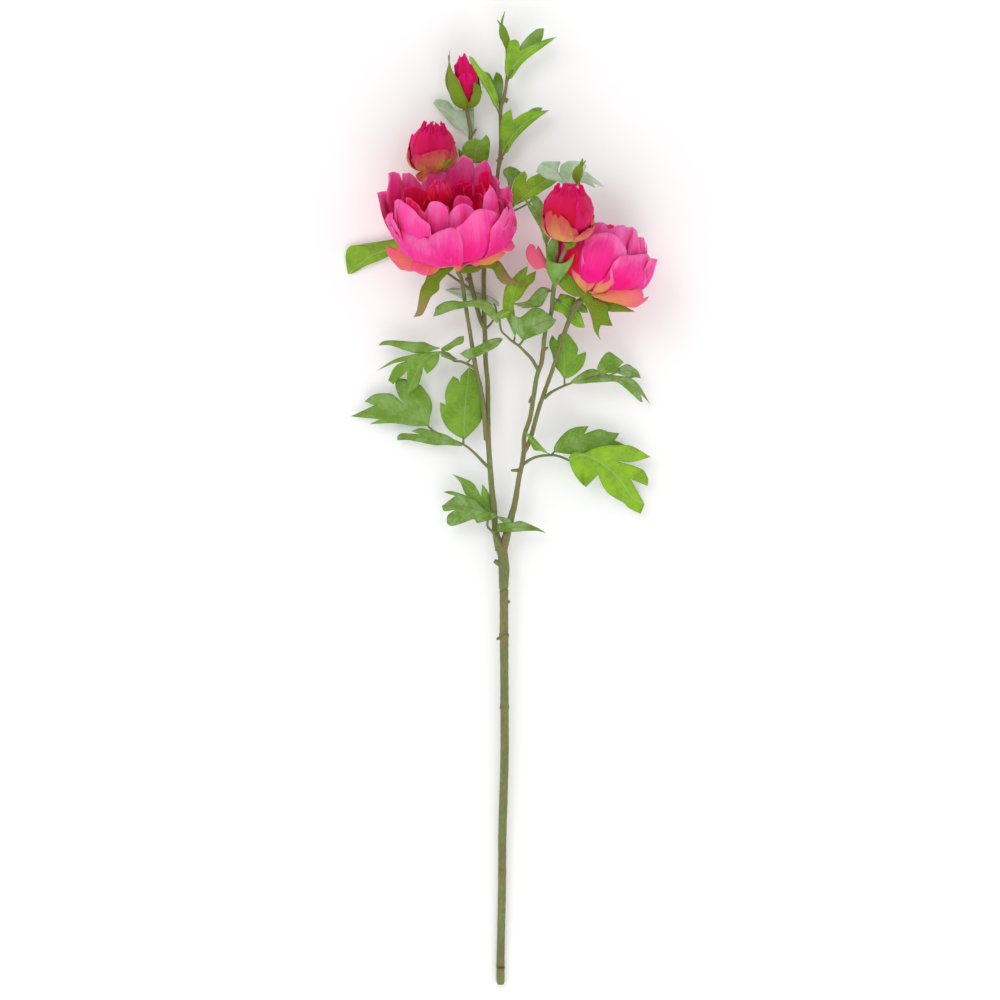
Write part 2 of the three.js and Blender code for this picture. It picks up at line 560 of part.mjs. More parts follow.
        edge: [[10, 307], [7.1, 320.7], [2.7, 327.9], [3.6, 332.3], [9.8, 334.6], [16.1, 333.2],
          [21, 329.2], [14.3, 320.7]],
      },
    ],
  },
  leaf_14: {
    stalks: [
      [[64.4, 289, 80.4, 1.2], [66, 295, 77.5, 1.1], [68, 304, 76, 1.0], [66, 314, 76, 1.0]],
    ],
    leaflets: [
      {
        z: [76, 72, 1, -0.05, 0], tip: 4,
        rib: [[54, 326]],
        edge: [[66, 312], [58, 316], [46, 319], [36.3, 326.3], [38.9, 333.1], [44, 336.1],
          [59.8, 336.4], [58.4, 326]],
      },
      {
        z: [76, 70, 1, -0.05, 0], tip: 4,
        rib: [[72, 325]],
        edge: [[65, 308], [60.5, 318], [60.2, 331.4], [66, 335.7], [73.4, 336.9],
          [79.2, 335.7], [85.8, 331.7], [85.1, 328.7], [82.9, 325.8], [79.2, 315.5],
          [72, 309]],
      },
      {
        z: [76, 68, 2, -0.05, 0], tip: 4,
        rib: [[84, 320.5]],
        edge: [[66, 306], [72, 316], [82.9, 325.8], [91.7, 320.7], [104.9, 309.6],
          [92.4, 315.3], [94.6, 310.4], [79.2, 314.6]],
      },
    ],
  },
  leaf_15: {
    stalks: [
      [[54, 208, 64.5, 1.5], [54.8, 211, 69, 1.2], [57, 220, 80, 1.0]],
    ],
    leaflets: [
      {
        z: [71, 106, 0, 0.2, 0], tip: 8,
        rib: [[56.5, 219], [63, 230]],
        edge: [[54.8, 209.7], [50.4, 218.6], [45.9, 228.8], [45.7, 242.2], [51, 236.5],
          [58.7, 233.9], [65.1, 234.6], [69.5, 239], [73.3, 242.9], [70.8, 233.9],
          [65.1, 224.4], [59.3, 217.3]],
      },
    ],
  },
  leaf_16: {
    stalks: [
      [[56.6, 227, 80, 1.5], [54, 231, 81.5, 1.2], [53, 238, 83, 1.0]],
    ],
    leaflets: [
      {
        z: [82, 92, 0, 0.1, 0], tip: 5,
        rib: [[54, 246]],
        edge: [[55, 233], [47.2, 238], [45.9, 247], [48, 254], [52, 259], [57, 260],
          [57.6, 250.5], [57.3, 241.6]],
      },
    ],
  },
  leaf_17: {
    stalks: [
      [[52.6, 208, 62.5, 1.5], [49, 208, 60, 1.2], [44, 206, 57.5, 1.0]],
    ],
    leaflets: [
      {
        z: [60.5, 47, 2, -0.1, 0], tip: 5,
        rib: [[38, 202], [28, 195.2]],
        edge: [[50, 209.5], [40.6, 211.8], [33, 205.3], [27.6, 199.2], [22.2, 197],
          [10.8, 196.2], [18.9, 193.4], [24.3, 190.6], [34.1, 191.6], [40.6, 193.4],
          [45.5, 200.6]],
      },
    ],
  },
  leaf_18: {
    stalks: [
      [[52.8, 203, 59, 1.5], [54, 201, 55, 1.2], [57, 199, 50, 1.1], [62, 197, 44.5, 1.0]],
    ],
    leaflets: [
      {
        z: [48, 37, 0, 0.05, 0], tip: 6,
        rib: [[68, 192], [77, 182]],
        edge: [[57, 200], [60, 205.5], [68.8, 204.2], [75.8, 201], [73, 193], [80, 187],
          [85, 171.7], [76.4, 173.3], [68.8, 178.2], [62.3, 185.8], [52, 190.5],
          [51.5, 194]],
      },
      {
        z: [44.5, 40, 1, -0.1, 0], tip: 4,
        rib: [[78, 194]],
        edge: [[66, 196], [72, 200], [80.2, 197.6], [86.1, 193.4], [87.7, 186.9],
          [81.8, 186.9], [74, 191]],
      },
    ],
  },
  leaf_19: {
    stalks: [
      [[-15, 171, 18, 1.3], [-9, 177, 15.4, 1.1], [-3.5, 188, 9.5, 1.0], [-6, 197, 7.5, 0.9]],
    ],
    leaflets: [
      {
        z: [7.5, 5, 1, -0.05, 0], tip: 6,
        rib: [[-22, 205], [-40, 208.5]],
        edge: [[-1.2, 194.5], [-1.7, 198.8], [-9.3, 204.2], [-20.1, 208], [-31, 211.3],
          [-46.1, 212.9], [-56.4, 210.7], [-45.1, 206.4], [-37.5, 202.1], [-22.3, 199.4],
          [-11.5, 195.6]],
      },
    ],
  },
  leaf_20: {
    stalks: [
      [[56, 222, 76.5, 1.5], [51, 228, 74, 1.2], [47.5, 240, 73, 1.1], [46, 256, 73.5, 1.0]],
    ],
    leaflets: [
      {
        z: [75, 62, 2, 0.15, 0], tip: 6,
        rib: [[45, 268], [36, 288]],
        edge: [[46.5, 252], [42.6, 257.6], [40.4, 268.6], [35.2, 278.1], [28.6, 289.1],
          [24.2, 298.6], [19.4, 305.2], [33, 292], [30, 299], [36, 301.9], [41.1, 297.2],
          [44, 291.3], [45.5, 280.3], [48, 270.8], [50, 262]],
      },
    ],
  },
};

function ccwLeaflet(leaflet) {
  const contour = leaflet.edge.map(([x, y]) => new THREE.Vector2(x, y));
  if (THREE.ShapeUtils.area(contour) > 0) {
    return { contour, tip: leaflet.tip };
  }
  const turned = [contour[0], ...contour.slice(1).reverse()];
  return { contour: turned, tip: contour.length - leaflet.tip };
}

// Height of the blade at one point: along the rib first, then across it.
function leafletHeight(point, spine, [zBase, zTip, arch, fold, roll]) {
  let best = Infinity;
  let along = 0;
  let across = 0;
  let walked = 0;
  for (let i = 0; i < spine.length - 1; i += 1) {
    const a = spine[i];
    const step = spine[i + 1].clone().sub(a);
    const length = step.length();
    const toPoint = point.clone().sub(a);
    const share = THREE.MathUtils.clamp(toPoint.dot(step) / (length * length), 0, 1);
    const foot = a.clone().addScaledVector(step, share);
    const away = foot.distanceTo(point);
    if (away < best) {
      best = away;
      along = walked + share * length;
      across = Math.sign(step.cross(toPoint)) * away;
    }
    walked += length;
  }
  const s = along / walked;
  const lengthwise = zBase + (zTip - zBase) * s + arch * 4 * s * (1 - s);
  return lengthwise + fold * Math.abs(across) + roll * across;
}

// The rib of a leaflet from its base to its tip, seen from above.
function spineOf(leaflet) {
  const ends = [leaflet.edge[0], leaflet.edge[leaflet.tip]];
  return [ends[0], ...leaflet.rib, ends[1]].map(([x, y]) => new THREE.Vector2(x, y));
}

function bladeHeight(leaflet, point) {
  const height = leafletHeight(point, spineOf(leaflet), leaflet.z);
  return Math.max(height, SURFACE + LEAF_THICKNESS / 2);
}

function bladeSolid(leaflet) {
  const { contour, tip } = ccwLeaflet(leaflet);
  const rib = leaflet.rib.map(([x, y]) => new THREE.Vector2(x, y));
  const points = [...contour, ...rib];
  const ribIndex = rib.map((_, i) => contour.length + i);
  const rim = contour.map((_, i) => i);
  const halves = [
    [...rim.slice(0, tip + 1), ...[...ribIndex].reverse()],
    [...rim.slice(tip), 0, ...ribIndex],
  ];
  const faces = [];
  for (const half of halves) {
    const outline = half.map((i) => points[i]);
    for (const corners of THREE.ShapeUtils.triangulateShape(outline, [])) {
      const forward = THREE.ShapeUtils.area(corners.map((i) => outline[i])) > 0;
      const [a, b, c] = corners.map((i) => half[i]);
      faces.push(forward ? [a, b, c] : [a, c, b]);
    }
  }
  const heights = points.map((point) => bladeHeight(leaflet, point));
  const raise = (offset) => points.map((p, i) => vec(p.x, p.y, heights[i] + offset));
  const upper = raise(LEAF_THICKNESS / 2);
  return solidOf(slabGeometry(upper, raise(-LEAF_THICKNESS / 2), faces, rim));
}

// Where a stalk runs into the blade: at its base, and a little way along its rib.
function rootOf(leaflet) {
  const [base, next] = spineOf(leaflet);
  const share = Math.min(1, ROOT_LENGTH / base.distanceTo(next));
  return [base, base.clone().lerp(next, share)].map((point) => (
    [point.x, point.y, Math.max(bladeHeight(leaflet, point), SURFACE + 2 * ROOT_RADIUS), ROOT_RADIUS]
  ));
}

// The stalk that ends at a leaflet's base runs on into its blade. A leaflet that sits
// beside the stalk gets a short root of its own.
function leafSolid(leaf) {
  const routes = leaf.stalks.map((route) => [...route]);
  const free = new Set(routes);
  for (const leaflet of leaf.leaflets) {
    const [base, inside] = rootOf(leaflet);
    const ends = [...free].filter((route) => {
      const [x, y] = route[route.length - 1];
      return Math.hypot(x - base[0], y - base[1]) < STALK_REACH;
    });
    if (ends.length) {
      ends[0].push(inside);
      free.delete(ends[0]);
    } else {
      routes.push([base, inside]);
    }
  }
  const stalks = routes.map((route) => solidOf(tubeGeometry(route, TWIG_SIDES)));
  return joined([...stalks, ...leaf.leaflets.map(bladeSolid)]);
}

// ---------------------------------------------------------------- flowers

// A flower's own frame: h runs up its axis from its base, rho out from the axis, and
// the angle turns from the side that faces up (0) towards the right (90).
function flowerFrame([x, y, z], [nx, ny, nz]) {
  const axis = vec(nx, ny, nz).normalize();
  const front = UP.clone().addScaledVector(axis, -UP.dot(axis)).normalize();
  const right = axis.clone().cross(front);
  return { base: vec(x, y, z), axis, front, right };
}

function inFlower(frame, h, rho, angle) {
  const point = frame.base.clone().addScaledVector(frame.axis, h);
  point.addScaledVector(frame.front, rho * Math.cos(angle));
  return point.addScaledVector(frame.right, rho * Math.sin(angle));
}

function bezier(points, t) {
  const s = 1 - t;
  const weights = [s * s * s, 3 * s * s * t, 3 * s * t * t, t * t * t];
  const sum = (k) => points.reduce((total, point, i) => total + weights[i] * point[k], 0);
  return [sum(0), sum(1)];
}

// How wide a petal is along its length, as a share of its full width.
function petalShare(t) {
  const rise = Math.sin((Math.PI / 2) * Math.min(t / 0.7, 1));
  return 0.12 + 0.88 * rise - 0.2 * Math.max(0, (t - 0.7) / 0.3) ** 2;
}

// One point in the middle of a petal's thickness: t runs from claw to lip, u from one
// side (-1) to the other (1).
function petalPoint(frame, petal, t, u) {
  const lip = 1 - petal.round * Math.abs(u) ** 2.4 - petal.notch * Math.exp(-((u / 0.22) ** 2));
  const along = t * lip;
  const [rho, h] = bezier(petal.profile, along);
  const [rhoNext, hNext] = bezier(petal.profile, Math.min(along + 0.01, 1.01));
  const slope = Math.hypot(rhoNext - rho, hNext - h) || 1;
  const out = [(hNext - h) / slope, -(rhoNext - rho) / slope];
  const wave = petal.ruffle * along ** 3 * Math.sin(petal.waves * Math.PI * u + petal.phase);
  const reach = rho + out[0] * wave + petal.tilt * u * along;
  const height = h + out[1] * wave;
  const bend = Math.max(rho / petal.cup, 12);
  const turn = (petal.width / 2) * petalShare(along) * u / bend;
  const radial = reach - bend + bend * Math.cos(turn);
  const sideways = bend * Math.sin(turn);
  const point = inFlower(frame, height, radial, petal.angle);
  return point.addScaledVector(
    inFlower(frame, height, 1, petal.angle + Math.PI / 2).sub(inFlower(frame, height, 0, 0)),
    sideways,
  );
}

function petalSolid(frame, petal, rows, columns, extra) {
  const middle = [];
  const wider = 1 + extra / 20;
  for (let i = 0; i <= rows; i += 1) {
    for (let j = 0; j <= columns; j += 1) {
      const u = wider * ((2 * j) / columns - 1);
      const point = petalPoint(frame, petal, ((1 + extra / 40) * i) / rows, u);
      point.z = Math.max(point.z, SURFACE + PETAL_THICKNESS / 2);
      middle.push(point);
    }
  }
  const at = (i, j) => i * (columns + 1) + j;
  const faces = [];
  for (let i = 0; i < rows; i += 1) {
    for (let j = 0; j < columns; j += 1) {
      faces.push([at(i, j), at(i, j + 1), at(i + 1, j)]);
      faces.push([at(i, j + 1), at(i + 1, j + 1), at(i + 1, j)]);
    }
  }
  const normals = middle.map(() => vec(0, 0, 0));
  for (const [a, b, c] of faces) {
    const ab = middle[b].clone().sub(middle[a]);
    const ac = middle[c].clone().sub(middle[a]);
    const normal = ab.cross(ac);
    [a, b, c].forEach((k) => normals[k].add(normal));
  }
  const half = PETAL_THICKNESS / 2 + extra;
  const shifted = (way) => middle.map((point, k) => (
    point.clone().addScaledVector(normals[k].clone().normalize(), way * half)
  ));
  const rim = [];
  for (let j = 0; j <= columns; j += 1) {
    rim.push(at(0, j));
  }
  for (let i = 1; i <= rows; i += 1) {
    rim.push(at(i, columns));
  }
  for (let j = columns - 1; j >= 0; j -= 1) {
    rim.push(at(rows, j));
  }
  for (let i = rows - 1; i > 0; i -= 1) {
    rim.push(at(i, 0));
  }
  return solidOf(slabGeometry(shifted(1), shifted(-1), faces, rim));
}

const DEGREES = Math.PI / 180;

// A petal that stands up in a cup: it swells to its belly and closes in to its lip.
function cupPetal(hub, angle, lip, belly, width, more = {}) {
  const [radius, foot] = hub;
  const rise = lip[1] - foot;
  return {
    angle: angle * DEGREES,
    width,
    profile: [
      [radius * 0.85, foot], [belly * 1.0, foot + 0.02 * rise],
      [belly * 1.22, foot + 0.55 * rise], lip,
    ],
    round: 0.2, notch: 0, ruffle: 1, waves: 2, phase: angle, tilt: 5, cup: 0.95,
    ...more,
  };
}

// A petal that lies open below the cup.
function spreadPetal(hub, angle, lip, width, more = {}) {
  const [radius, foot] = hub;
  return {
    angle: angle * DEGREES,
    width,
    profile: [
      [radius * 0.85, foot], [lip[0] * 0.5, foot - 6], [lip[0] * 0.98, foot - 3], lip,
    ],
    round: 0.2, notch: 0.1, ruffle: 3, waves: 3, phase: angle, tilt: 1.5, cup: 0.5,
    ...more,
  };
}

function hubSolid(frame, [radius, foot], extra) {
  const disc = new THREE.CylinderGeometry(
    radius + extra, radius + extra, HUB_HEIGHT - HUB_GAP + 2 * extra, 8,
  );
  const turn = new THREE.Quaternion().setFromUnitVectors(vec(0, 1, 0), frame.axis);
  disc.applyQuaternion(turn);
  const centre = inFlower(frame, foot, 0, 0);
  disc.translate(centre.x, centre.y, centre.z);
  return solidOf(disc);
}

function ringSolid(frame, ring, extra = 0) {
  const petals = ring.petals.map((petal) => (
    petalSolid(frame, petal, ring.rows, ring.columns, extra)
  ));
  return joined([hubSolid(frame, ring.hub, extra), ...petals]);
}

// The sepals lie as leaflets do, and grow from a small cup on the stalk's end.
function calyxSolid(frame, calyx) {
  const { bottom, top, radius, sepals } = calyx;
  const cupRoute = [
    [bottom, radius * 0.5], [(bottom + top) / 2, radius], [top, radius * 1.05],
  ].map(([h, r]) => [...inFlower(frame, h, 0, 0).toArray(), r]);
  const blades = sepals.map(bladeSolid);
  return joined([solidOf(tubeGeometry(cupRoute, 8)), ...blades]);
}

const hub = (radius, level) => [radius, level * HUB_HEIGHT + HUB_HEIGHT / 2];

const BLOOM_A = flowerFrame([-43, 243, 48.5], [-0.05, 0.882, 0.469]);
const BLOOM_B = flowerFrame([87, 206, 54.5], [0.3, 0.95, -0.06]);
const BUD_C = flowerFrame([-69, 330, 20.5], [0.04, 0.965, 0.26]);
const BUD_D = flowerFrame([66.5, 258, 107], [0.03, 0.97, 0.22]);
const BUD_E = flowerFrame([-33.5, 392, 25.5], [-0.04, 0.99, 0.12]);

const A_HUBS = [hub(9, 0), hub(9, 1), hub(8, 2), hub(7, 3)];
const A_GUARD = {
  hub: A_HUBS[0], rows: 3, columns: 3,
  petals: [
    spreadPetal(A_HUBS[0], -6, [60, 19], 44, { ruffle: 3, waves: 3 }),
    spreadPetal(A_HUBS[0], -54, [62, 14], 40, { ruffle: 2 }),
    spreadPetal(A_HUBS[0], -98, [67, 15], 42, { ruffle: 2 }),
    spreadPetal(A_HUBS[0], 48, [50, 12], 36, { ruffle: 2 }),
    spreadPetal(A_HUBS[0], 92, [66, 18], 44, { ruffle: 3 }),
    spreadPetal(A_HUBS[0], 148, [42, 18], 38),
    spreadPetal(A_HUBS[0], -152, [42, 18], 38),
  ],
};
const A_OUTER = {
  hub: A_HUBS[1], rows: 4, columns: 3,
  petals: [
    cupPetal(A_HUBS[1], -34, [58, 44], 57, 50),
    cupPetal(A_HUBS[1], 3, [55, 57], 56, 46),
    cupPetal(A_HUBS[1], 38, [53, 74], 57, 48),
    cupPetal(A_HUBS[1], 78, [62, 66], 57, 44),
    cupPetal(A_HUBS[1], 116, [56, 72], 55, 42),
    cupPetal(A_HUBS[1], 156, [43, 92], 55, 46),
    cupPetal(A_HUBS[1], -162, [44, 84], 55, 44),
    cupPetal(A_HUBS[1], -120, [60, 82], 55, 44),
    cupPetal(A_HUBS[1], -78, [68, 68], 58, 44),
  ],
};
const A_INNER = {
  hub: A_HUBS[2], rows: 4, columns: 3,
  petals: [
    cupPetal(A_HUBS[2], -62, [53, 76], 46, 40),
    cupPetal(A_HUBS[2], -18, [39, 78], 45, 34),
    cupPetal(A_HUBS[2], 20, [40, 76], 45, 32),
    cupPetal(A_HUBS[2], 64, [42, 78], 45, 38),
    cupPetal(A_HUBS[2], 114, [40, 84], 44, 40),
    cupPetal(A_HUBS[2], 166, [34, 86], 44, 40),
    cupPetal(A_HUBS[2], -142, [38, 84], 44, 40),
    cupPetal(A_HUBS[2], -100, [46, 78], 45, 36),
  ],
};
const A_HEART = {
  hub: A_HUBS[3], rows: 3, columns: 2,
  petals: [
    cupPetal(A_HUBS[3], -40, [24, 64], 32, 30),
    cupPetal(A_HUBS[3], 12, [24, 64], 32, 30),
    cupPetal(A_HUBS[3], 64, [28, 68], 32, 30),
    cupPetal(A_HUBS[3], 116, [26, 72], 32, 30),
    cupPetal(A_HUBS[3], 168, [20, 76], 31, 30),
    cupPetal(A_HUBS[3], -142, [22, 76], 31, 30),
    cupPetal(A_HUBS[3], -92, [26, 70], 32, 30),
    cupPetal(A_HUBS[3], -140, [6, 70], 17, 22),
    cupPetal(A_HUBS[3], 40, [6, 66], 17, 22),
  ],
};
const A_CALYX = {
  bottom: -13, top: -0.1, radius: 7,
  sepals: [
    {
      z: [42, 34, 2, -0.1, 0], tip: 6,
      rib: [[-62, 222], [-75, 204]],
      edge: [[-44, 233], [-60, 231], [-72, 225], [-75, 218], [-79.3, 210.4], [-83.1, 189.4],
        [-86.5, 182.7], [-77.4, 185.5], [-68.8, 202.8], [-61.1, 209.5], [-59.7, 218]],
    },
    {
      z: [43, 45, -2, -0.1, 0], tip: 5,
      rib: [[-20, 235.5], [-3, 230], [8, 219]],
      edge: [[-43, 231], [-20, 240], [-2, 239], [5.7, 229.4], [11.8, 221.2], [29, 214],
        [18, 215.4], [4.7, 215.2], [-2.4, 221], [-8, 230.4], [-20, 231], [-36, 226]],
    },
    {
      z: [44, 47, 0, -0.1, 0], tip: 2,
      rib: [[-30, 231]],
      edge: [[-42, 232], [-30, 235], [-18, 231], [-24, 227], [-38, 226.5]],
    },
  ],
};

const B_HUBS = [hub(8, 0), hub(8, 1), hub(7, 2), hub(6, 3)];
const B_GUARD = {
  hub: B_HUBS[0], rows: 3, columns: 3,
  petals: [
    spreadPetal(B_HUBS[0], 74, [60, 12], 42, { ruffle: 3 }),
    spreadPetal(B_HUBS[0], -84, [72, 22], 32, { ruffle: 2 }),
    spreadPetal(B_HUBS[0], -32, [36, 20], 30, { ruffle: 1, notch: 0, cup: 0.9 }),
    spreadPetal(B_HUBS[0], 16, [38, 16], 28, { ruffle: 1, notch: 0, cup: 0.9 }),
    spreadPetal(B_HUBS[0], 140, [42, 16], 36),
    spreadPetal(B_HUBS[0], -145, [42, 16], 36),
  ],
};
const B_OUTER = {
  hub: B_HUBS[1], rows: 4, columns: 3,
  petals: [
    cupPetal(B_HUBS[1], -4, [40, 60], 50, 46),
    cupPetal(B_HUBS[1], 44, [46, 48], 51, 46),
    cupPetal(B_HUBS[1], 90, [54, 52], 49, 44),
    cupPetal(B_HUBS[1], 135, [44, 56], 48, 42),
    cupPetal(B_HUBS[1], 180, [42, 58], 49, 42),
    cupPetal(B_HUBS[1], -135, [42, 56], 48, 42),
    cupPetal(B_HUBS[1], -92, [42, 56], 47, 40),
    cupPetal(B_HUBS[1], -49, [40, 52], 47, 38),
  ],
};
const B_INNER = {
  hub: B_HUBS[2], rows: 4, columns: 3,
  petals: [
    cupPetal(B_HUBS[2], 24, [30, 72], 39, 36),
    cupPetal(B_HUBS[2], 74, [32, 70], 39, 36),
    cupPetal(B_HUBS[2], 124, [32, 66], 39, 34),
    cupPetal(B_HUBS[2], 175, [30, 68], 39, 34),
    cupPetal(B_HUBS[2], -134, [30, 66], 38, 34),
    cupPetal(B_HUBS[2], -82, [28, 68], 38, 34),
    cupPetal(B_HUBS[2], -28, [30, 70], 39, 36),
  ],
};
const B_HEART = {
  hub: B_HUBS[3], rows: 3, columns: 2,
  petals: [
    cupPetal(B_HUBS[3], 0, [16, 64], 27, 30),
    cupPetal(B_HUBS[3], 72, [16, 66], 27, 30),
    cupPetal(B_HUBS[3], 144, [16, 62], 27, 30),
    cupPetal(B_HUBS[3], -144, [16, 64], 27, 30),
    cupPetal(B_HUBS[3], -72, [16, 62], 27, 30),
  ],
};
const B_CALYX = {
  bottom: -9.5, top: -0.1, radius: 7,
  sepals: [
    {
      z: [60, 78, 5, -0.1, 0], tip: 4,
      rib: [[76, 211]],
      edge: [[88, 202], [90, 208], [79.1, 218.6], [69.5, 226.9], [62.5, 224.4], [58.9, 217.3],
        [60.4, 211], [66.3, 205.9], [75.3, 202]],
    },
    {
      z: [60, 56, 0, -0.15, 0], tip: 5,
      rib: [[92, 188], [96, 172]],
      edge: [[86, 204], [81, 199.5], [88, 189.3], [91.2, 180.4], [93.8, 168.9],
        [100.1, 159.3], [98.2, 166.3], [100.1, 174], [112.2, 173.3], [107.8, 185.5],
        [107.1, 195.7], [94, 201]],
    },
    {
      z: [56, 56, 0, -0.1, 0], tip: 3,
      rib: [[112, 192.4]],
      edge: [[90, 203], [100, 200], [119.9, 195], [134.6, 187.4], [122.4, 187.4],
        [108, 188], [96, 194]],
    },
  ],
};

// A half-open bud: crimson petals close round a small core, and their pointed lips
// make a fringed mouth. Each lip is [angle, rho, h] with the bud's size as 1.
const OUTER_LIPS = [
  [20, 0.42, 1.06], [92, 0.66, 1.0], [164, 0.4, 1.12], [236, 0.5, 1.06], [308, 0.62, 1.0],
];
const INNER_LIPS = [[0, 0.3, 1.2], [90, 0.72, 1.1], [200, 0.34, 1.26], [280, 0.7, 1.06]];

function budHeart(frame, radius, height, extra = 0) {
  const foot = [3.6, 1.7];
  const petals = OUTER_LIPS.map(([angle, rho, h]) => (
    cupPetal(foot, angle, [radius * rho, height * h], radius * 0.93, radius * 1.1,
      { round: 0.6, tilt: 2.4, cup: 1, ruffle: 0 })
  ));
  const lips = INNER_LIPS.map(([angle, rho, h]) => (
    cupPetal(foot, angle, [radius * rho, height * h], radius * 0.6, radius * 0.4,
      { round: 0.7, tilt: 0, cup: 1, ruffle: 0 })
  ));
  const core = [[1, 0.1], [0.3 * height, 0.3], [0.55 * height, 0.3], [0.8 * height, 0.08]];
  const coreRoute = core.map(([h, r]) => [...inFlower(frame, h, 0, 0).toArray(), radius * r + extra]);
  const sheets = [...petals, ...lips].map((petal) => petalSolid(frame, petal, 3, 2, extra));
  return joined([hubSolid(frame, foot, extra), solidOf(tubeGeometry(coreRoute, 4)), ...sheets]);
}

function budFoot(frame, radius, height, spots, extra = 0) {
  const petals = spots.map(([angle, width, h]) => {
    const petal = cupPetal([4, 0.6], angle, [radius * 0.97, h], radius * 0.93, width,
      { ruffle: 0.6, tilt: 0, cup: 1, round: 0.3 });
    petal.profile = [
      [2, -1.2], [radius * 0.86, -2.6], [radius * 1.2, h * 0.45], [radius * 1.1, h],
    ];
    return petalSolid(frame, petal, 3, 2, extra);
  });
  const foot = hubSolid(frame, [4.4, -1.5], extra);
  return joined([foot, ...petals]);
}

const C_SIZE = { radius: 23.5, height: 44 };
const D_SIZE = { radius: 24.5, height: 52 };
const C_FOOT_SPOTS = [[-35, 30, 22], [35, 30, 20], [130, 32, 22], [-125, 32, 22]];
const D_FOOT_SPOTS = [[-48, 30, 27], [20, 28, 18], [120, 32, 22], [-130, 32, 22]];

const C_CALYX = {
  bottom: -7.5, top: -4, radius: 3.6,
  sepals: [
    {
      z: [18.6, 17, 0, 0.1, 0], tip: 2,
      rib: [[-78, 324]],
      edge: [[-68, 324.6], [-78, 328], [-86, 325], [-83, 320], [-74, 319.5], [-67, 321]],
    },
  ],
};
const D_CALYX = {
  bottom: -7, top: -4, radius: 3.4,
  sepals: [
    {
      z: [106, 108, 0, -0.1, 0], tip: 2,
      rib: [[71, 251]],
      edge: [[64, 250], [68, 255.5], [76, 257.5], [74, 251], [68, 247.5]],
    },
  ],
};

// The closed bud: two broad sepals wrap a crimson point.

function closedHeart(frame, extra = 0) {
  const route = [
    [2.5, 4], [12, 9.6], [24, 10.4], [36, 8], [45, 5], [55, 0.8],
  ].map(([h, r]) => [...inFlower(frame, h, 0, 0).toArray(), r + extra]);
  const lip = [[26, 4, 6], [36, 7, 5], [46, 9, 0.8]].map(([h, rho, r]) => (
    [...inFlower(frame, h, rho, 60 * DEGREES).toArray(), r + extra]
  ));
  return solidOf(tubeGeometry(route, 7)).add(solidOf(tubeGeometry(lip, 4)));
}

const E_SEPALS = [
  { angle: -42, width: 27, lip: [14, 60], belly: 15.6 },
  { angle: 62, width: 24, lip: [14, 27], belly: 15.6 },
  { angle: 180, width: 32, lip: [12, 34], belly: 15.6 },
];

function closedSepals(frame, extra = 0) {
  const petals = E_SEPALS.map(({ angle, width, lip, belly }) => {
    const petal = cupPetal([4, 0], angle, lip, belly, width,
      { ruffle: 0, tilt: 0, cup: 1, round: 0.55 });
    return petalSolid(frame, petal, 4, 2, extra);
  });
  return joined([hubSolid(frame, [4.2, -0.3], extra), ...petals]);
}

function tinyBudSolid(route, tips) {
  const body = solidOf(tubeGeometry(route, 8));
  return joined([body, ...tips.map((tip) => solidOf(tubeGeometry(tip, 4)))]);
}

const TINY_BUD_F = {
  body: [[6.8, 453, 26.1, 2.2], [6, 459.5, 26.6, 3.9], [4, 465, 27, 4.6], [2.6, 471, 27.6, 3.6],
    [1.2, 476, 28, 1.6]],
  tips: [
    [[1.6, 474.5, 28, 1.5], [2.2, 480, 28.4, 1.0], [4.9, 488.6, 29.6, 0.4]],
    [[1.4, 474, 28, 1.2], [-2.7, 480.4, 27.6, 0.4]],
  ],
};
const TINY_BUD_G = {
  body: [[77, 313.6, 87.6, 2.0], [76.4, 319.4, 89.2, 4.6], [76.8, 323, 90, 5.4],
    [78.6, 328, 91, 4.0], [80.2, 331.4, 91.6, 2.0]],
  tips: [
    [[80, 330, 91.4, 1.9], [80.9, 334, 92, 1.5], [81.8, 338, 92.6, 0.4]],
    [[81, 331, 90.6, 1.1], [85.1, 336.1, 90, 0.4]],
  ],
};

// ---------------------------------------------------------------- materials

function material(color, roughness) {
  return () => new THREE.MeshStandardMaterial({ color, roughness, metalness: 0 });
}

const STEM_GREEN = material(0x6f7d46, 0.6);
const LEAF_GREEN = material(0x5d941a, 0.5);
const LEAF_PALE = material(0xadc29c, 0.6);
const PETAL_PINK = material(0xf6428f, 0.7);
const HEART_CRIMSON = material(0xcf0236, 0.7);
const GUARD_SALMON = material(0xdf7d78, 0.7);
const SEPAL_OLIVE = material(0x7a7d0e, 0.6);
const BUD_CRIMSON = material(0xd9014c, 0.7);
const BUD_PEACH = material(0xd1705a, 0.7);

// ---------------------------------------------------------------- assembly

const spray = new THREE.Group();
const placed = [];

// Each piece is cut back from what it meets, and keeps its largest body.
function place(name, solid, makeMaterial, clearOf = []) {
  const cut = clearOf.reduce((rest, other) => rest.subtract(other), solid);
  const body = largestBody(cut.simplify(SMOOTHING));
  const mesh = new THREE.Mesh(geometryOf(body), makeMaterial());
  mesh.name = name;
  spray.add(mesh);
  placed.push(body);
  return body;
}

const stemRoom = stemSolid(CLEARANCE);
place('stem', stemSolid(0), STEM_GREEN);

const PALE_LEAVES = ['leaf_08', 'leaf_14', 'leaf_19'];
for (const [name, leaf] of Object.entries(LEAVES)) {
  const green = PALE_LEAVES.includes(name) ? LEAF_PALE : LEAF_GREEN;
  place(name, leafSolid(leaf), green, [stemRoom]);
}

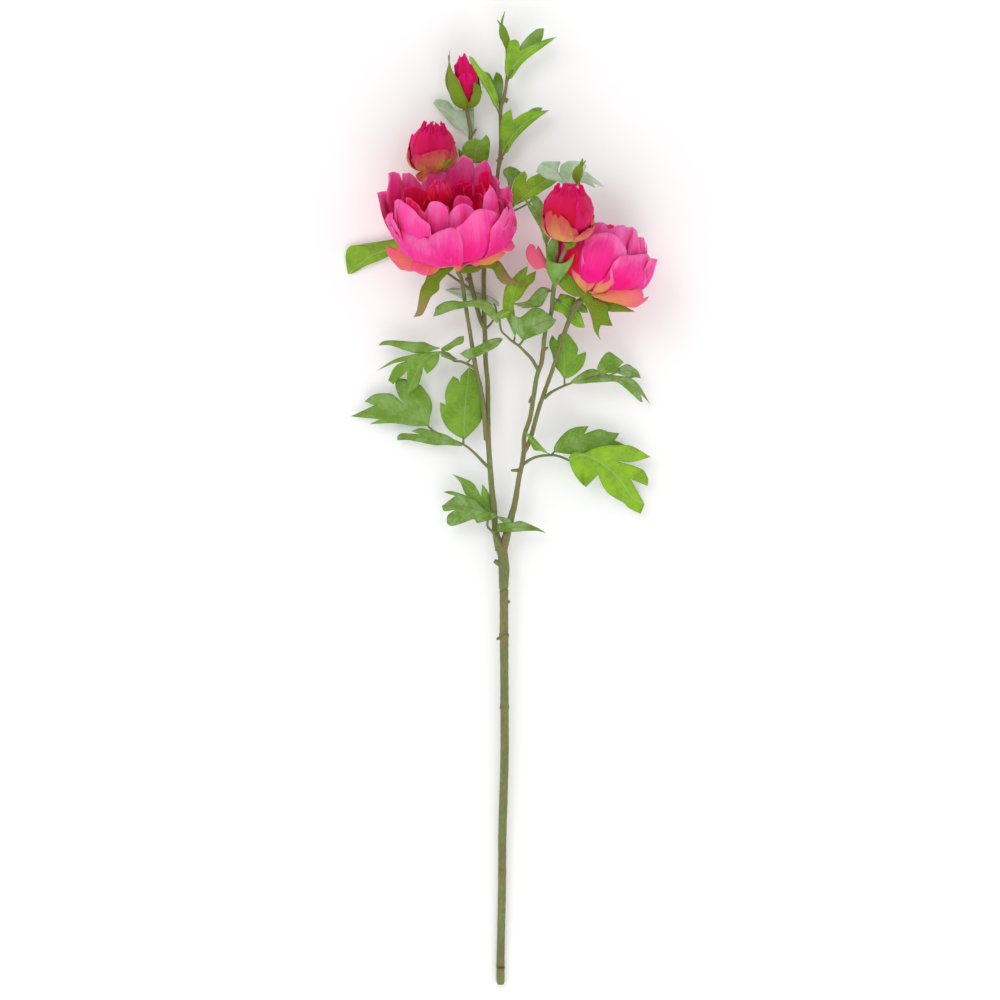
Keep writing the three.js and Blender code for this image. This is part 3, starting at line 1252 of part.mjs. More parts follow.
function placeBloom(name, frame, rings, calyx) {
  const [guard, outer, inner, heart] = rings;
  const guardRoom = ringSolid(frame, guard, CLEARANCE);
  const outerRoom = ringSolid(frame, outer, CLEARANCE);
  const innerRoom = ringSolid(frame, inner, CLEARANCE);
  place(`${name}_calyx`, calyxSolid(frame, calyx), SEPAL_OLIVE, [stemRoom, guardRoom, outerRoom]);
  place(`${name}_guard_petals`, ringSolid(frame, guard), GUARD_SALMON, [stemRoom, outerRoom]);
  place(`${name}_outer_petals`, ringSolid(frame, outer), PETAL_PINK, [stemRoom]);
  place(`${name}_inner_petals`, ringSolid(frame, inner), PETAL_PINK, [outerRoom]);
  place(`${name}_heart`, ringSolid(frame, heart), HEART_CRIMSON, [outerRoom, innerRoom]);
}

placeBloom('bloom_a', BLOOM_A, [A_GUARD, A_OUTER, A_INNER, A_HEART], A_CALYX);
placeBloom('bloom_b', BLOOM_B, [B_GUARD, B_OUTER, B_INNER, B_HEART], B_CALYX);

function placeBud(name, frame, { radius, height }, spots, calyx) {
  const footRoom = budFoot(frame, radius, height, spots, CLEARANCE);
  const heartRoom = budHeart(frame, radius, height, CLEARANCE);
  const heart = budHeart(frame, radius, height);
  const near = [stemRoom, footRoom, heartRoom];
  place(`${name}_calyx`, calyxSolid(frame, calyx), SEPAL_OLIVE, near);
  place(`${name}_foot_petals`, budFoot(frame, radius, height, spots), BUD_PEACH, [stemRoom]);
  place(`${name}_heart`, heart, BUD_CRIMSON, [stemRoom, footRoom]);
}

placeBud('bud_c', BUD_C, C_SIZE, C_FOOT_SPOTS, C_CALYX);
placeBud('bud_d', BUD_D, D_SIZE, D_FOOT_SPOTS, D_CALYX);

place('bud_e_sepals', closedSepals(BUD_E), SEPAL_OLIVE, [stemRoom]);
place('bud_e_heart', closedHeart(BUD_E), BUD_CRIMSON, [stemRoom, closedSepals(BUD_E, CLEARANCE)]);
place('tiny_bud_f', tinyBudSolid(TINY_BUD_F.body, TINY_BUD_F.tips), SEPAL_OLIVE, [stemRoom]);
place('tiny_bud_g', tinyBudSolid(TINY_BUD_G.body, TINY_BUD_G.tips), SEPAL_OLIVE, [stemRoom]);

export default spray;
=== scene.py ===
"""Builds the looks of a long-stemmed artificial peony spray, lying on a pale floor.

Lengths in the tables are millimetres, in the part's own frame: X to the right, Y from
the cut end of the stem to the topmost bud, Z up from the floor.
"""

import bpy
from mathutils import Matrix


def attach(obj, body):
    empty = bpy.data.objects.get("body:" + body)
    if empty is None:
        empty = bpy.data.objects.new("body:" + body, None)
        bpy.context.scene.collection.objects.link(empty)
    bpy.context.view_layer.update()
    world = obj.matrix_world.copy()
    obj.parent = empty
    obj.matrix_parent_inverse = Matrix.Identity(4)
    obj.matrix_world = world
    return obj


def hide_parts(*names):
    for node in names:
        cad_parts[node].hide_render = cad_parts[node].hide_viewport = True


bl_info = {
    "name": "Artificial Peony Spray",
    "version": (1, 0, 0),
    "blender": (4, 5, 0),
    "location": "View3D > Sidebar > Peony Spray",
    "description": "Builds the stem, leaves, blooms and buds of an artificial peony spray",
    "category": "Object",
}

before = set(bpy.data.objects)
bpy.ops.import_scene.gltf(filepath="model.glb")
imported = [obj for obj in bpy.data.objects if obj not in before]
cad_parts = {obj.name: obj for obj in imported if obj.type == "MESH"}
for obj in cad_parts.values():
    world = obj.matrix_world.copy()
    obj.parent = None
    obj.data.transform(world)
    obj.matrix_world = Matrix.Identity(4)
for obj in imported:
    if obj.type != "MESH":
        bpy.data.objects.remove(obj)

import math

import bmesh
import bpy
import numpy as np
from mathutils import Vector, noise
from mathutils.geometry import delaunay_2d_cdt

MM = 0.001
UP = np.array([0.0, 0.0, 1.0])

CAMERA_HEIGHT = 6.03  # metres above the floor, where a pixel is about a millimetre
CAMERA_LENS = 216
CAMERA_REACH = 50
FLOOR_REACH = 6  # metres from the middle of the floor to its edge
ROOM_LIGHT = 0.86
LAMPS = [  # name, place and size in metres, power in watts
    ("Key Light", (-1.6, 1.6, 3.4), 1.8, 24),
    ("Fill Light", (0.7, -2.6, 2.8), 2.4, 34),
]

# Millimetres from here on.
STEM_LIFT = 0.6  # air under the lowest stalks
LEAF_LIFT = 0.45  # air under the lowest leaves
PETAL_LIFT = 0.3
HUB_STEP = 3.2  # from one disc of a bloom to the next
HUB_DEPTH = 3.0
HUB_BEVEL = 0.5
BUD_HUB = [3.6, 1.7]  # radius and height of the disc in a half-open bud
FOOT_HUB = [4.4, -1.5]
SEPAL_HUB = [4.2, -0.3]
LIP_STEP = 0.8  # between the points of a petal's lip
EDGE_STEP = 1.6  # between the points of a leaf's edge
RIB_STEP = 2.0
ROW_SHARE = 0.87  # rows of a leaf's triangles, as a share of the distance in a row
VEIN_SLANT = 0.9  # how far a side vein runs up a leaf for each step away from the rib
VEIN_RISE = 0.7
RIB_DIP = 0.55
LEAF_RUFFLE = 1.9  # how far the outer part of a leaf waves up and down
SILK_RUFFLE = 3.5
FINE_RUFFLE = 0.35
LIP_LENGTH = 70  # a petal's length and width where its lip is smoothed
LIP_WIDTH = 50
PETAL_ROWS = 30
PETAL_COLUMNS = 44

# Sides of the tubes, and how fine the knobs on them are.
STALK_SIDES = 10
STEM_SIDES = 18
CUP_SIDES = 20
BUD_SIDES = 24
KNOB_SCALE = 160.0

# The crumples of each leaflet, petal and sepal start from a number of its own.
LEAF_SEEDS = 5
PETAL_SEED = 40
SEPAL_SEED = 70

# ---------------------------------------------------------------- stem tables

# Routes of the moulded stems: [x, y, z, radius].
TRUNK = [
  [0.5, -486, 4.2, 3.3], [0.5, -482, 4.5, 4.1], [0.5, -469, 5, 4.0], [0.5, -468, 4.9, 4.6],
  [0.5, -465, 5, 4.1], [1.5, -415, 7.1, 4.0], [1.6, -413, 7.1, 4.6], [1.7, -410, 7.2, 4.0],
  [2.2, -373, 8.8, 4.1], [2.2, -371, 8.9, 4.6], [2.2, -368, 9, 4.1], [2.5, -330, 10.4, 4.2],
  [4.5, -260, 13.2, 4.3], [4.5, -210, 15.2, 4.3], [4.5, -208, 15.3, 5.0],
  [4.5, -205, 15.4, 4.3], [4.1, -138, 18.1, 4.4], [4, -136, 18.2, 5.3], [4, -132, 18.3, 4.5],
  [4, -93, 19.8, 4.5], [3.8, -90.5, 19.9, 5.3], [3.6, -88, 20, 4.7], [4, -70, 20.8, 5.6],
  [3.2, -58, 21.2, 5.2], [1, -47, 21.6, 5.6],
]
LEFT_BRANCH = [
  [0, -50, 21.6, 4.8], [-4.6, -30, 22, 3.3], [-6, -7, 22.5, 3.0], [-8.2, 11, 23, 2.9],
  [-10.3, 39, 23.5, 2.7], [-12, 62, 24, 2.7],
]
CENTRE_STEM = [
  [-11.6, 58, 24, 2.6], [-12, 83, 24, 2.5], [-12.3, 115, 23, 2.4], [-14.4, 139, 21, 2.4],
  [-15, 164, 19, 2.4], [-15.7, 178, 17, 2.3], [-16, 204, 12.5, 2.3], [-16, 232, 8.5, 2.3],
  [-11, 270, 6.5, 2.2], [-3.6, 317, 8, 2.0], [-1.8, 331, 10, 2.0], [0, 342, 12, 2.2],
  [0.8, 360, 16, 1.8], [0.7, 390, 20, 1.8], [3.6, 402, 22, 1.9], [6.7, 420, 24, 1.5],
  [6.7, 454, 26, 1.3],
]
BLOOM_A_STALK = [
  [-14, 60, 25, 2.3], [-15, 77, 27, 2.4], [-18, 104, 29.5, 2.3], [-24, 131, 32, 2.2],
  [-28, 155, 34, 2.1], [-32, 180, 36, 2.0], [-35.5, 201, 37.5, 2.0], [-38.3, 220, 38.8, 2.1],
  [-42.1, 228, 41, 2.4],
]
BUD_C_STEM = [
  [-15.4, 172, 17.8, 2.3], [-20, 182, 16, 2.3], [-27.5, 210, 11, 2.3], [-31, 226, 8, 2.3],
  [-35, 245, 4.2, 2.2], [-38, 265, 2.5, 2.2], [-40, 287, 2.5, 2.2], [-52, 308, 8, 2.0],
  [-68, 324, 17.5, 2.1],
]
BUD_E_STALK = [
  [-39, 282, 2.6, 2.1], [-37, 320, 7, 2.0], [-29.5, 361, 15, 1.9], [-32.6, 388, 22.6, 2.0],
  [-33.4, 391.6, 24.8, 2.0],
]
RIGHT_BRANCH = [
  [3, -50, 21.6, 4.6], [11, -18, 22, 3.5], [14, -7, 22.5, 3.1], [16.6, 6.5, 23, 2.8],
  [18.8, 21, 23.5, 2.5], [22, 36, 24, 2.4], [24.5, 52, 24.5, 2.4],
]
BUD_D_STALK = [
  [24, 48, 24.5, 2.4], [24.5, 65, 26, 2.3], [30.5, 84, 30, 2.3], [36.5, 122, 37, 2.3],
  [41.5, 138, 40.5, 2.3], [45.5, 170, 46, 2.2], [51, 186, 51, 2.2], [53.4, 211, 65, 2.4],
  [57, 226, 80, 2.0], [60, 237, 91, 1.9], [64, 246, 99, 1.9], [66.2, 251.6, 104.6, 1.9],
]
BLOOM_B_STALK = [
  [23, 46, 24, 2.4], [28, 55, 25, 2.3], [31.5, 65, 26, 2.3], [38, 89, 29, 2.2],
  [44.5, 108, 33, 2.1], [54.6, 136.5, 39, 2.1], [65.4, 170, 47, 2.2], [72, 186, 50.5, 2.6],
  [75.5, 193, 52, 4.0], [79, 197.5, 53.4, 3.6], [83.6, 199, 55, 2.4],
]
TINY_BUD_G_STALK = [
  [57.5, 229, 83, 1.2], [53, 245, 85, 1.2], [56, 265, 83, 1.2], [63, 286, 80, 1.2],
  [72, 305, 84, 1.2], [77, 315, 88, 1.3],
]
# Moulded stubs and knobs, where a shoot was cut off.
STUBS = [
  [[3, -137, 18.2, 2.4], [-3.4, -139.5, 19, 1.2]],
  [[5, -101, 19.5, 2.6], [9.8, -102.5, 20, 1.4]],
  [[1, -64, 21, 3.8], [-5.8, -61, 22, 2.0]],
  [[5, 399, 21.5, 2.6], [7.4, 402, 22.6, 1.6]],
  [[-29, 220, 9, 2.8], [-34.8, 222, 9.8, 1.4]],
  [[19, 30, 23.6, 2.0], [11, 29.6, 24, 1.0]],
  [[42.8, 150, 42.5, 2.6], [48, 152, 43.8, 1.0]],
  [[33, 103, 33, 2.6], [29, 97, 33.4, 1.1]],
  [[-28.6, 365, 15.6, 1.5], [-23.7, 371.6, 18, 1.0]],
  [[-2, 339, 11, 2.6], [1.6, 344, 12.6, 2.6]],
]

# ---------------------------------------------------------------- leaf tables


def blade(z, tip, rib, edge, tone=0.5, dye=0):
    """A leaflet, a sepal or a flat petal, drawn as it is seen from above.

    z is [height at the base, height at the tip, arch along the rib, fold on both sides of it,
    roll across it]. tip is the place of its tip in edge, the outline from its base round to its
    base. Given 2 in its last argument, it takes the second pair of materials.
    """
    return {"z": z, "tip": tip, "rib": rib, "edge": edge, "tone": tone, "dye": dye}


# Stalks are routes [x, y, z, radius].
LEAVES = {
  "leaf_01": {
    "stalks": [
      [[0.5, -47, 26, 1.9], [-4.5, -36.3, 28, 1.7], [-6.6, -32.6, 28.5, 1.4],
        [-12, -27.2, 29.5, 1.2], [-12.4, -22.2, 31, 1.1], [-9.5, -16.5, 32, 1.1]],
      [[-6.6, -32.6, 28.5, 1.2], [-3, -31.6, 28.6, 1.0]],
      [[-12.4, -23, 30.6, 1.1], [-12.6, -18, 24, 1.0], [-11.8, -11, 17.5, 1.0]],
    ],
    "leaflets": [
      blade([32.5, 21, 2, -0.12, 0], 8, [[-21, -9.8], [-38, -6]], [
        [-2, -16], [-9, -12], [-14, -11], [-27, 1], [-38, 6], [-49, 9], [-57, 8], [-45, 4],
        [-58, -6], [-56, -11], [-45, -10], [-52, -15], [-53, -23], [-48, -26], [-37, -23],
        [-26, -19], [-23, -23], [-14, -21], [-7, -19]]),
      blade([17, 20, 2, 0.1, 0], 8, [[-20, 0], [-33, 14]], [
        [-8, -13], [-9, -6], [-10, 3], [-13, 10], [-18, 16], [-19, 4], [-27, 17], [-37, 22],
        [-48, 26], [-40, 18], [-34, 5], [-24, -3], [-14, -11]]),
      blade([28.8, 22, 3, -0.1, 0], 6, [[14, -27], [30, -28]], [
        [-4, -32], [-2, -24], [5, -23], [14, -22], [21, -21], [38, -28], [46, -33], [37, -31],
        [26, -31], [13, -32]]),
      blade([32.5, 26, 1, -0.1, 0], 4, [[4, -19.5]], [
        [-5, -16], [3, -17], [10, -19], [12, -23], [12, -28], [6, -25], [1, -21]]),
    ],
  },
  "leaf_02": {
    "stalks": [
      [[-11.2, 32.5, 24, 1.8], [-17, 38, 23.5, 1.6], [-25.5, 47, 22.5, 1.3],
        [-36.4, 55.5, 21, 1.1], [-55, 63, 19, 1.1], [-68.2, 70.4, 18, 1.1],
        [-73, 75.5, 18.5, 1.0]],
      [[-36.8, 55.8, 21, 1.1], [-36.6, 62.5, 20, 1.0]],
    ],
    "leaflets": [
      blade([19.5, 16, 1, 0.08, 0], 13, [[-36, 80], [-34, 104]], [
        [-36, 61], [-43, 64], [-52, 71], [-58, 81], [-60, 91], [-60, 98], [-54, 95], [-55, 106],
        [-52, 116], [-47, 124], [-42, 121], [-40, 117], [-39, 124], [-31, 133], [-24, 128],
        [-20, 114], [-18, 99], [-18, 82], [-24, 72], [-34, 62]]),
      blade([21.5, 10, 4, -0.15, 0], 8, [[-60, 61], [-84, 63.5]], [
        [-36, 56], [-43, 59], [-53, 65], [-70, 70], [-80, 72], [-89, 69], [-80, 66], [-99, 67],
        [-103, 64], [-103, 60], [-91, 60], [-66, 55], [-53, 55], [-39, 54]]),
      blade([19, 5, 4, -0.08, 0.06], 15, [[-88.6, 82.5], [-110, 86], [-130, 87.5]], [
        [-71, 75], [-70, 83], [-68, 92], [-69, 100], [-73, 107], [-81, 116], [-100, 122],
        [-105, 117], [-102, 105], [-96, 96], [-108, 106], [-115, 107], [-126, 106], [-136, 99],
        [-126, 95], [-150, 84], [-132, 82], [-121, 81], [-131, 76], [-109, 77], [-99, 76],
        [-86, 74], [-75, 74]]),
    ],
  },
  "leaf_03": {
    "stalks": [
      [[-25.4, 132, 31.5, 1.7], [-34.3, 136.7, 31, 1.3], [-40, 138.7, 30, 1.2],
        [-45.8, 139.1, 28.5, 1.2], [-50.6, 143.4, 27, 1.1], [-58.5, 151, 25, 1.1]],
      [[-34.3, 136.7, 31, 1.1], [-31.5, 138.6, 36, 1.0], [-28, 142, 38.5, 0.9]],
    ],
    "leaflets": [
      blade([25.5, 15, 4, -0.25, 0], 7, [[-76, 153], [-100, 156]], [
        [-59, 152], [-69, 155], [-76, 158], [-85, 158], [-94, 159], [-109, 160], [-117, 159],
        [-122, 155], [-111, 155], [-101, 152], [-92, 149], [-84, 147], [-73, 148]]),
      blade([24.5, 18, 4, -0.1, 0], 13, [[-77, 140.5], [-86, 122]], [
        [-60, 149], [-73, 148], [-86, 146], [-99, 143], [-109, 139], [-124, 129], [-106, 137],
        [-94, 139], [-102, 136], [-107, 131], [-112, 120], [-107, 116], [-93, 129], [-93, 106],
        [-89, 108], [-82, 115], [-78, 126], [-77, 133], [-73, 126], [-67, 131], [-62, 138]]),
      blade([25.5, 30, 1, 0.1, 0], 3, [[-46, 157]], [
        [-59, 152], [-49, 158], [-42, 163], [-36, 164], [-37, 157], [-44, 154], [-53, 149]]),
      blade([24.5, 24, 0, -0.1, 0], 3, [[-50, 143.2]], [
        [-60, 149], [-52, 148], [-47, 144], [-42, 141], [-48, 140], [-54, 142], [-59, 144]]),
      blade([38.6, 39, 2, -0.1, 0], 3, [[-16, 151.5]], [
        [-30, 140], [-12, 148], [-2, 154], [3, 161], [-2, 162], [-11, 160], [-22, 154],
        [-34, 150], [-40, 146], [-34, 142]]),
    ],
  },
  "leaf_04": {
    "stalks": [
      [[38, 130, 39.5, 1.9], [31.9, 140.3, 42, 1.7], [25.4, 147.3, 43, 1.5],
        [18.9, 153.8, 44, 1.3], [12.4, 158.1, 44.5, 1.2], [7, 163, 45, 1.1],
        [1.6, 168.4, 45.5, 1.1], [0, 175, 46, 1.1], [-0.6, 181.5, 46.5, 1.1]],
      [[18.9, 153.8, 44, 1.2], [23.5, 160, 46.6, 1.0]],
      [[13.6, 157, 44.4, 1.1], [14.8, 162.5, 41, 1.0]],
    ],
    "leaflets": [
      blade([47, 41, 3, -0.12, 0], 9, [[-12, 194], [-36, 195.5]], [
        [-1, 180], [-5, 190], [-12, 198], [-22, 200], [-38, 198], [-48, 199], [-57, 197],
        [-64, 192], [-65, 188], [-67, 183], [-59, 185], [-48, 189], [-38, 191], [-29, 193],
        [-20, 191], [-12, 184], [-3, 176]]),
      blade([47, 50, 0, 0.1, 0], 3, [[4, 185.5]], [
        [-1, 180], [-3, 187], [4, 190], [11, 188], [10, 185], [6, 182]]),
      blade([46.5, 62, 1, 0.03, 0], 7, [[30, 171], [44, 178]], [
        [23, 159], [17, 166], [11, 175], [11, 186], [20, 182], [32, 191], [40, 191], [56, 179],
        [52, 173], [44, 167], [33, 163]]),
      blade([40.6, 36, 1, 0.05, 0], 7, [[10, 184], [14, 208]], [
        [15, 162], [10, 174], [3, 191], [4, 208], [6, 214], [14, 223], [20, 229], [28, 234],
        [26, 224], [36, 229], [34, 219], [28, 213], [20, 201], [14, 196], [16, 179],
        [17, 170]]),
    ],
  },
  "leaf_05": {
    "stalks": [
      [[44, 101.5, 32.5, 1.8], [50.7, 107.3, 33.5, 1.5], [57.6, 111.1, 34, 1.3],
        [65.2, 114.6, 34.5, 1.2], [72, 117, 35, 1.0]],
      [[64.6, 114.4, 34.4, 1.1], [64.4, 121.5, 34, 0.9]],
      [[84, 119.5, 36, 0.9], [95, 123, 35.5, 0.9], [103, 127, 34, 0.8]],
      [[95, 122.6, 35.5, 0.9], [108, 124.5, 33, 0.9], [119, 128.5, 31, 0.8]],
    ],
    "leaflets": [
      blade([34, 34, -1, 0.06, 0], 8, [[64.5, 136], [64, 152]], [
        [64, 121], [61, 126], [55, 134], [52, 146], [49, 156], [52, 165], [57, 159], [59, 165],
        [63, 167], [68, 166], [73, 160], [78, 152], [77, 145], [86, 148], [86, 144], [83, 134],
        [77, 127], [71, 123]]),
      blade([35.5, 12, 8, -0.12, 0], 7, [[92, 122.5], [116, 121.5], [138, 110]], [
        [70, 117], [72, 120], [80, 126], [87, 130], [94, 131], [107, 126], [134, 120],
        [151, 96], [141, 106], [143, 98], [140, 99], [132, 106], [124, 113], [116, 118],
        [105, 118], [90, 117], [77, 116]]),
      blade([35, 27, 1, 0.1, 0], 5, [[108, 135]], [
        [101, 126], [97, 131], [100, 139], [105, 146], [110, 148], [124, 138], [120, 134],
        [116, 128]]),
      blade([31.5, 20, 2, -0.15, 0], 5, [[129, 129.5]], [
        [117, 127], [119, 132], [127, 136], [133, 133], [138, 129], [141, 122], [135, 123],
        [130, 122]]),
    ],
  },
  "leaf_06": {
    "stalks": [
      [[22.4, 35, 24, 1.8], [30.4, 40.6, 24.5, 1.5], [38.6, 43.7, 25, 1.3],
        [46.7, 44.7, 25.5, 1.3], [54.9, 44.7, 26, 1.2], [62, 42.7, 26.5, 1.2],
        [69.5, 39.4, 27, 1.2]],
      [[51, 44.7, 25.8, 1.0], [54.6, 48.6, 24, 0.9]],
      [[51, 44.8, 25.8, 1.0], [48.6, 46, 27.5, 0.9]],
    ],
    "leaflets": [
      blade([24, 15, 1, 0.05, 0], 9, [[74, 56], [96, 62]], [
        [54, 48], [54, 53], [59, 61], [67, 69], [76, 73], [89, 74], [84, 66], [99, 71],
        [110, 68], [120, 67], [115, 60], [126, 55], [112, 54], [97, 52], [86, 47], [69, 46],
        [61, 47]]),
      blade([27.5, 12, 3, 0.05, 0], 15, [[83.5, 45], [101.8, 36.5], [120.2, 20.2], [132, 3]], [
        [69, 40], [70, 45], [75, 48], [84, 47], [92, 51], [102, 54], [117, 55], [132, 54],
        [151, 43], [132, 38], [118, 39], [142, 31], [148, 22], [148, 14], [131, 21], [145, -4],
        [141, -14], [129, -8], [124, -3], [109, 6], [103, 14], [98, 25], [86, 13], [80, 18],
        [73, 28], [70, 36]]),
      blade([28, 33, 1, 0.1, 0], 4, [[34, 57]], [
        [50, 45], [41, 49], [34, 50], [30, 58], [25, 68], [31, 65], [38, 58], [44, 51]]),
    ],
  },
  "leaf_07": {
    "stalks": [
      [[-29, 211, 10.5, 1.5], [-42, 220, 11.5, 1.3], [-62, 234, 11, 1.2], [-82, 246, 9, 1.1],
        [-98, 254.4, 7.5, 1.0]],
    ],
    "leaflets": [
      blade([7.5, 1.2, 1, 0.04, 0], 9, [[-113, 251], [-127, 246.4], [-138, 239]], [
        [-92, 251], [-96, 260], [-100, 263], [-112, 261], [-124, 259], [-142, 257], [-126, 257],
        [-150, 255], [-155, 246], [-153, 227], [-147, 228], [-135, 235], [-122, 240],
        [-106, 247]]),
    ],
  },
  "leaf_08": {
    "stalks": [
      [[-30, 358, 14.4, 1.5], [-30.8, 364.5, 13, 1.1]],
    ],
    "leaflets": [
      blade([12.5, 9, -1, 0.1, 0], 3, [[-37, 372], [-50, 387]], [
        [-30, 362], [-38, 370], [-46, 374], [-67, 398], [-64, 402], [-52, 400], [-46, 392],
        [-36, 391], [-26, 393], [-26, 387], [-26, 374], [-28, 365]]),
    ],
  },
  "leaf_09": {
    "stalks": [
      [[-34, 338, 10.4, 1.4], [-29, 340, 12, 1.1], [-24.6, 344, 14, 1.0]],
    ],
    "leaflets": [
      blade([13, 22, 1, 0.08, 0], 7, [[-24.5, 351]], [
        [-25, 338], [-39, 340], [-42, 352], [-38, 349], [-37, 355], [-32, 360], [-25, 362],
        [-19, 360], [-14, 366], [-11, 362], [-10, 356], [-11, 346], [-13, 338]]),
    ],
  },
  "leaf_10": {
    "stalks": [
      [[0.5, 386, 19.6, 1.6], [-2, 391, 21, 1.2], [-6, 399, 23, 1.0]],
      [[0.2, 387, 19.8, 1.3], [0, 397, 16, 1.0]],
    ],
    "leaflets": [
      blade([21.4, 46, 0, 0.25, 0], 6, [[-9, 405], [-19, 423]], [
        [-1, 390], [-2, 402], [-6, 414], [-12, 424], [-20, 432], [-27, 441], [-31, 443],
        [-30, 438], [-25, 429], [-18, 416], [-12, 407], [-6, 395]]),
      blade([16, 12, 0, 0.06, 0], 7, [[-3.5, 410]], [
        [0, 395], [3, 411], [3, 421], [0, 427], [-4, 429], [-7, 421], [-11, 428], [-18, 430],
        [-12, 421], [-7, 411], [-3, 402]]),
    ],
  },
  "leaf_11": {
    "stalks": [
      [[0.4, 343.5, 12.8, 1.8], [3.6, 347, 15.5, 1.4], [8, 355, 19.5, 1.1]],
    ],
    "leaflets": [
      blade([16.4, 27, 1, 0.22, 0], 8, [[9, 360], [22, 375], [34, 383.4]], [
        [2, 347], [1, 356], [0, 368], [1, 379], [4, 386], [11, 391], [13, 380], [26, 388],
        [50, 390], [42, 385], [32, 377], [21, 367], [14, 359], [7, 348]]),
      blade([24, 20, 0, 0.05, 0], 3, [[34, 387.6]], [
        [22, 380], [28, 389], [35, 393], [43, 393], [41, 390], [34, 380]]),
    ],
  },
  "leaf_12": {
    "stalks": [
      [[6.6, 418, 23.8, 1.4], [9, 423, 26, 1.1], [12.5, 430, 29, 0.9]],
    ],
    "leaflets": [
      blade([25.4, 35, 1, 0.22, 0], 9, [[14, 435], [30, 449]], [
        [8, 421], [5, 428], [5, 438], [7, 451], [9, 458], [15, 460], [19, 457], [20, 449],
        [42, 459], [57, 463], [41, 451], [30, 443], [21, 435], [12, 422]]),
      blade([31, 27, 0, 0.06, 0], 4, [[32, 460]], [
        [17, 447], [21, 455], [28, 464], [37, 471], [44, 472], [43, 464], [39, 456],
        [28, 448]]),
    ],
  },
  "leaf_13": {
    "stalks": [
      [[-11.6, 266, 7, 1.5], [0, 278, 10, 1.2], [8, 287.6, 15, 1.1], [14.4, 295.6, 20.2, 1.0]],
      [[7.5, 287, 14.6, 1.0], [24.9, 295.3, 17, 0.9], [36, 303.8, 18, 0.7]],
      [[8, 287.6, 14.6, 1.0], [10, 298, 12, 1.0], [10.5, 310, 10.5, 0.9]],
    ],
    "leaflets": [
      blade([20, 27, 1, 0.1, 0], 12, [[23.5, 303], [35.2, 312.6], [46, 320]], [
        [13, 294], [11, 297], [12, 310], [15, 321], [20, 327], [25, 329], [27, 324], [26, 318],
        [29, 322], [37, 326], [44, 329], [53, 329], [62, 327], [59, 321], [51, 314], [44, 310],
        [35, 304], [26, 300]]),
      blade([11, 8, 0, 0.05, 0], 4, [[11, 322]], [
        [10, 307], [7, 321], [3, 328], [4, 332], [10, 335], [16, 333], [21, 329], [14, 321]]),
    ],
  },
  "leaf_14": {
    "stalks": [
      [[64.4, 289, 80.4, 1.2], [66, 295, 77.5, 1.1], [68, 304, 76, 1.0], [66, 314, 76, 1.0]],
    ],
    "leaflets": [
      blade([76, 72, 1, -0.05, 0], 4, [[54, 326]], [
        [66, 312], [58, 316], [46, 319], [36, 326], [39, 333], [44, 336], [60, 336],
        [58, 326]]),
      blade([76, 70, 1, -0.05, 0], 4, [[72, 325]], [
        [65, 308], [60, 318], [60, 331], [66, 336], [73, 337], [79, 336], [86, 332], [85, 329],
        [83, 326], [79, 316], [72, 309]]),
      blade([76, 68, 2, -0.05, 0], 4, [[84, 320.5]], [
        [66, 306], [72, 316], [83, 326], [92, 321], [105, 310], [92, 315], [95, 310],
        [79, 315]]),
    ],
  },
  "leaf_15": {
    "stalks": [
      [[54, 208, 64.5, 1.5], [54.8, 211, 69, 1.2], [57, 220, 80, 1.0]],
    ],
    "leaflets": [
      blade([71, 106, 0, 0.2, 0], 8, [[56.5, 219], [63, 230]], [
        [55, 210], [50, 219], [46, 229], [46, 242], [51, 236], [59, 234], [65, 235], [70, 239],
        [73, 243], [71, 234], [65, 224], [59, 217]]),
    ],
  },
  "leaf_16": {
    "stalks": [
      [[56.6, 227, 80, 1.5], [54, 231, 81.5, 1.2], [53, 238, 83, 1.0]],
    ],
    "leaflets": [
      blade([82, 92, 0, 0.1, 0], 5, [[54, 246]], [
        [55, 233], [47, 238], [46, 247], [48, 254], [52, 259], [57, 260], [58, 250],
        [57, 242]]),
    ],
  },
  "leaf_17": {
    "stalks": [
      [[52.6, 208, 62.5, 1.5], [49, 208, 60, 1.2], [44, 206, 57.5, 1.0]],
    ],
    "leaflets": [
      blade([60.5, 47, 2, -0.1, 0], 5, [[38, 202], [28, 195.2]], [
        [50, 210], [41, 212], [33, 205], [28, 199], [22, 197], [11, 196], [19, 193], [24, 191],
        [34, 192], [41, 193], [46, 201]]),
    ],
  },
  "leaf_18": {
    "stalks": [
      [[52.8, 203, 59, 1.5], [54, 201, 55, 1.2], [57, 199, 50, 1.1], [62, 197, 44.5, 1.0]],
    ],
    "leaflets": [
      blade([48, 37, 0, 0.05, 0], 6, [[68, 192], [77, 182]], [
        [57, 200], [60, 206], [69, 204], [76, 201], [73, 193], [80, 187], [85, 172], [76, 173],
        [69, 178], [62, 186], [52, 190], [52, 194]]),
      blade([44.5, 40, 1, -0.1, 0], 4, [[78, 194]], [
        [66, 196], [72, 200], [80, 198], [86, 193], [88, 187], [82, 187], [74, 191]]),
    ],
  },
  "leaf_19": {
    "stalks": [
      [[-15, 171, 18, 1.3], [-9, 177, 15.4, 1.1], [-3.5, 188, 9.5, 1.0], [-6, 197, 7.5, 0.9]],
    ],
    "leaflets": [
      blade([7.5, 5, 1, -0.05, 0], 6, [[-22, 205], [-40, 208.5]], [
        [-1, 194], [-2, 199], [-9, 204], [-20, 208], [-31, 211], [-46, 213], [-56, 211],
        [-45, 206], [-38, 202], [-22, 199], [-12, 196]]),
    ],
  },
  "leaf_20": {
    "stalks": [
      [[56, 222, 76.5, 1.5], [51, 228, 74, 1.2], [47.5, 240, 73, 1.1], [46, 256, 73.5, 1.0]],
    ],
    "leaflets": [
      blade([75, 62, 2, 0.15, 0], 6, [[45, 268], [36, 288]], [
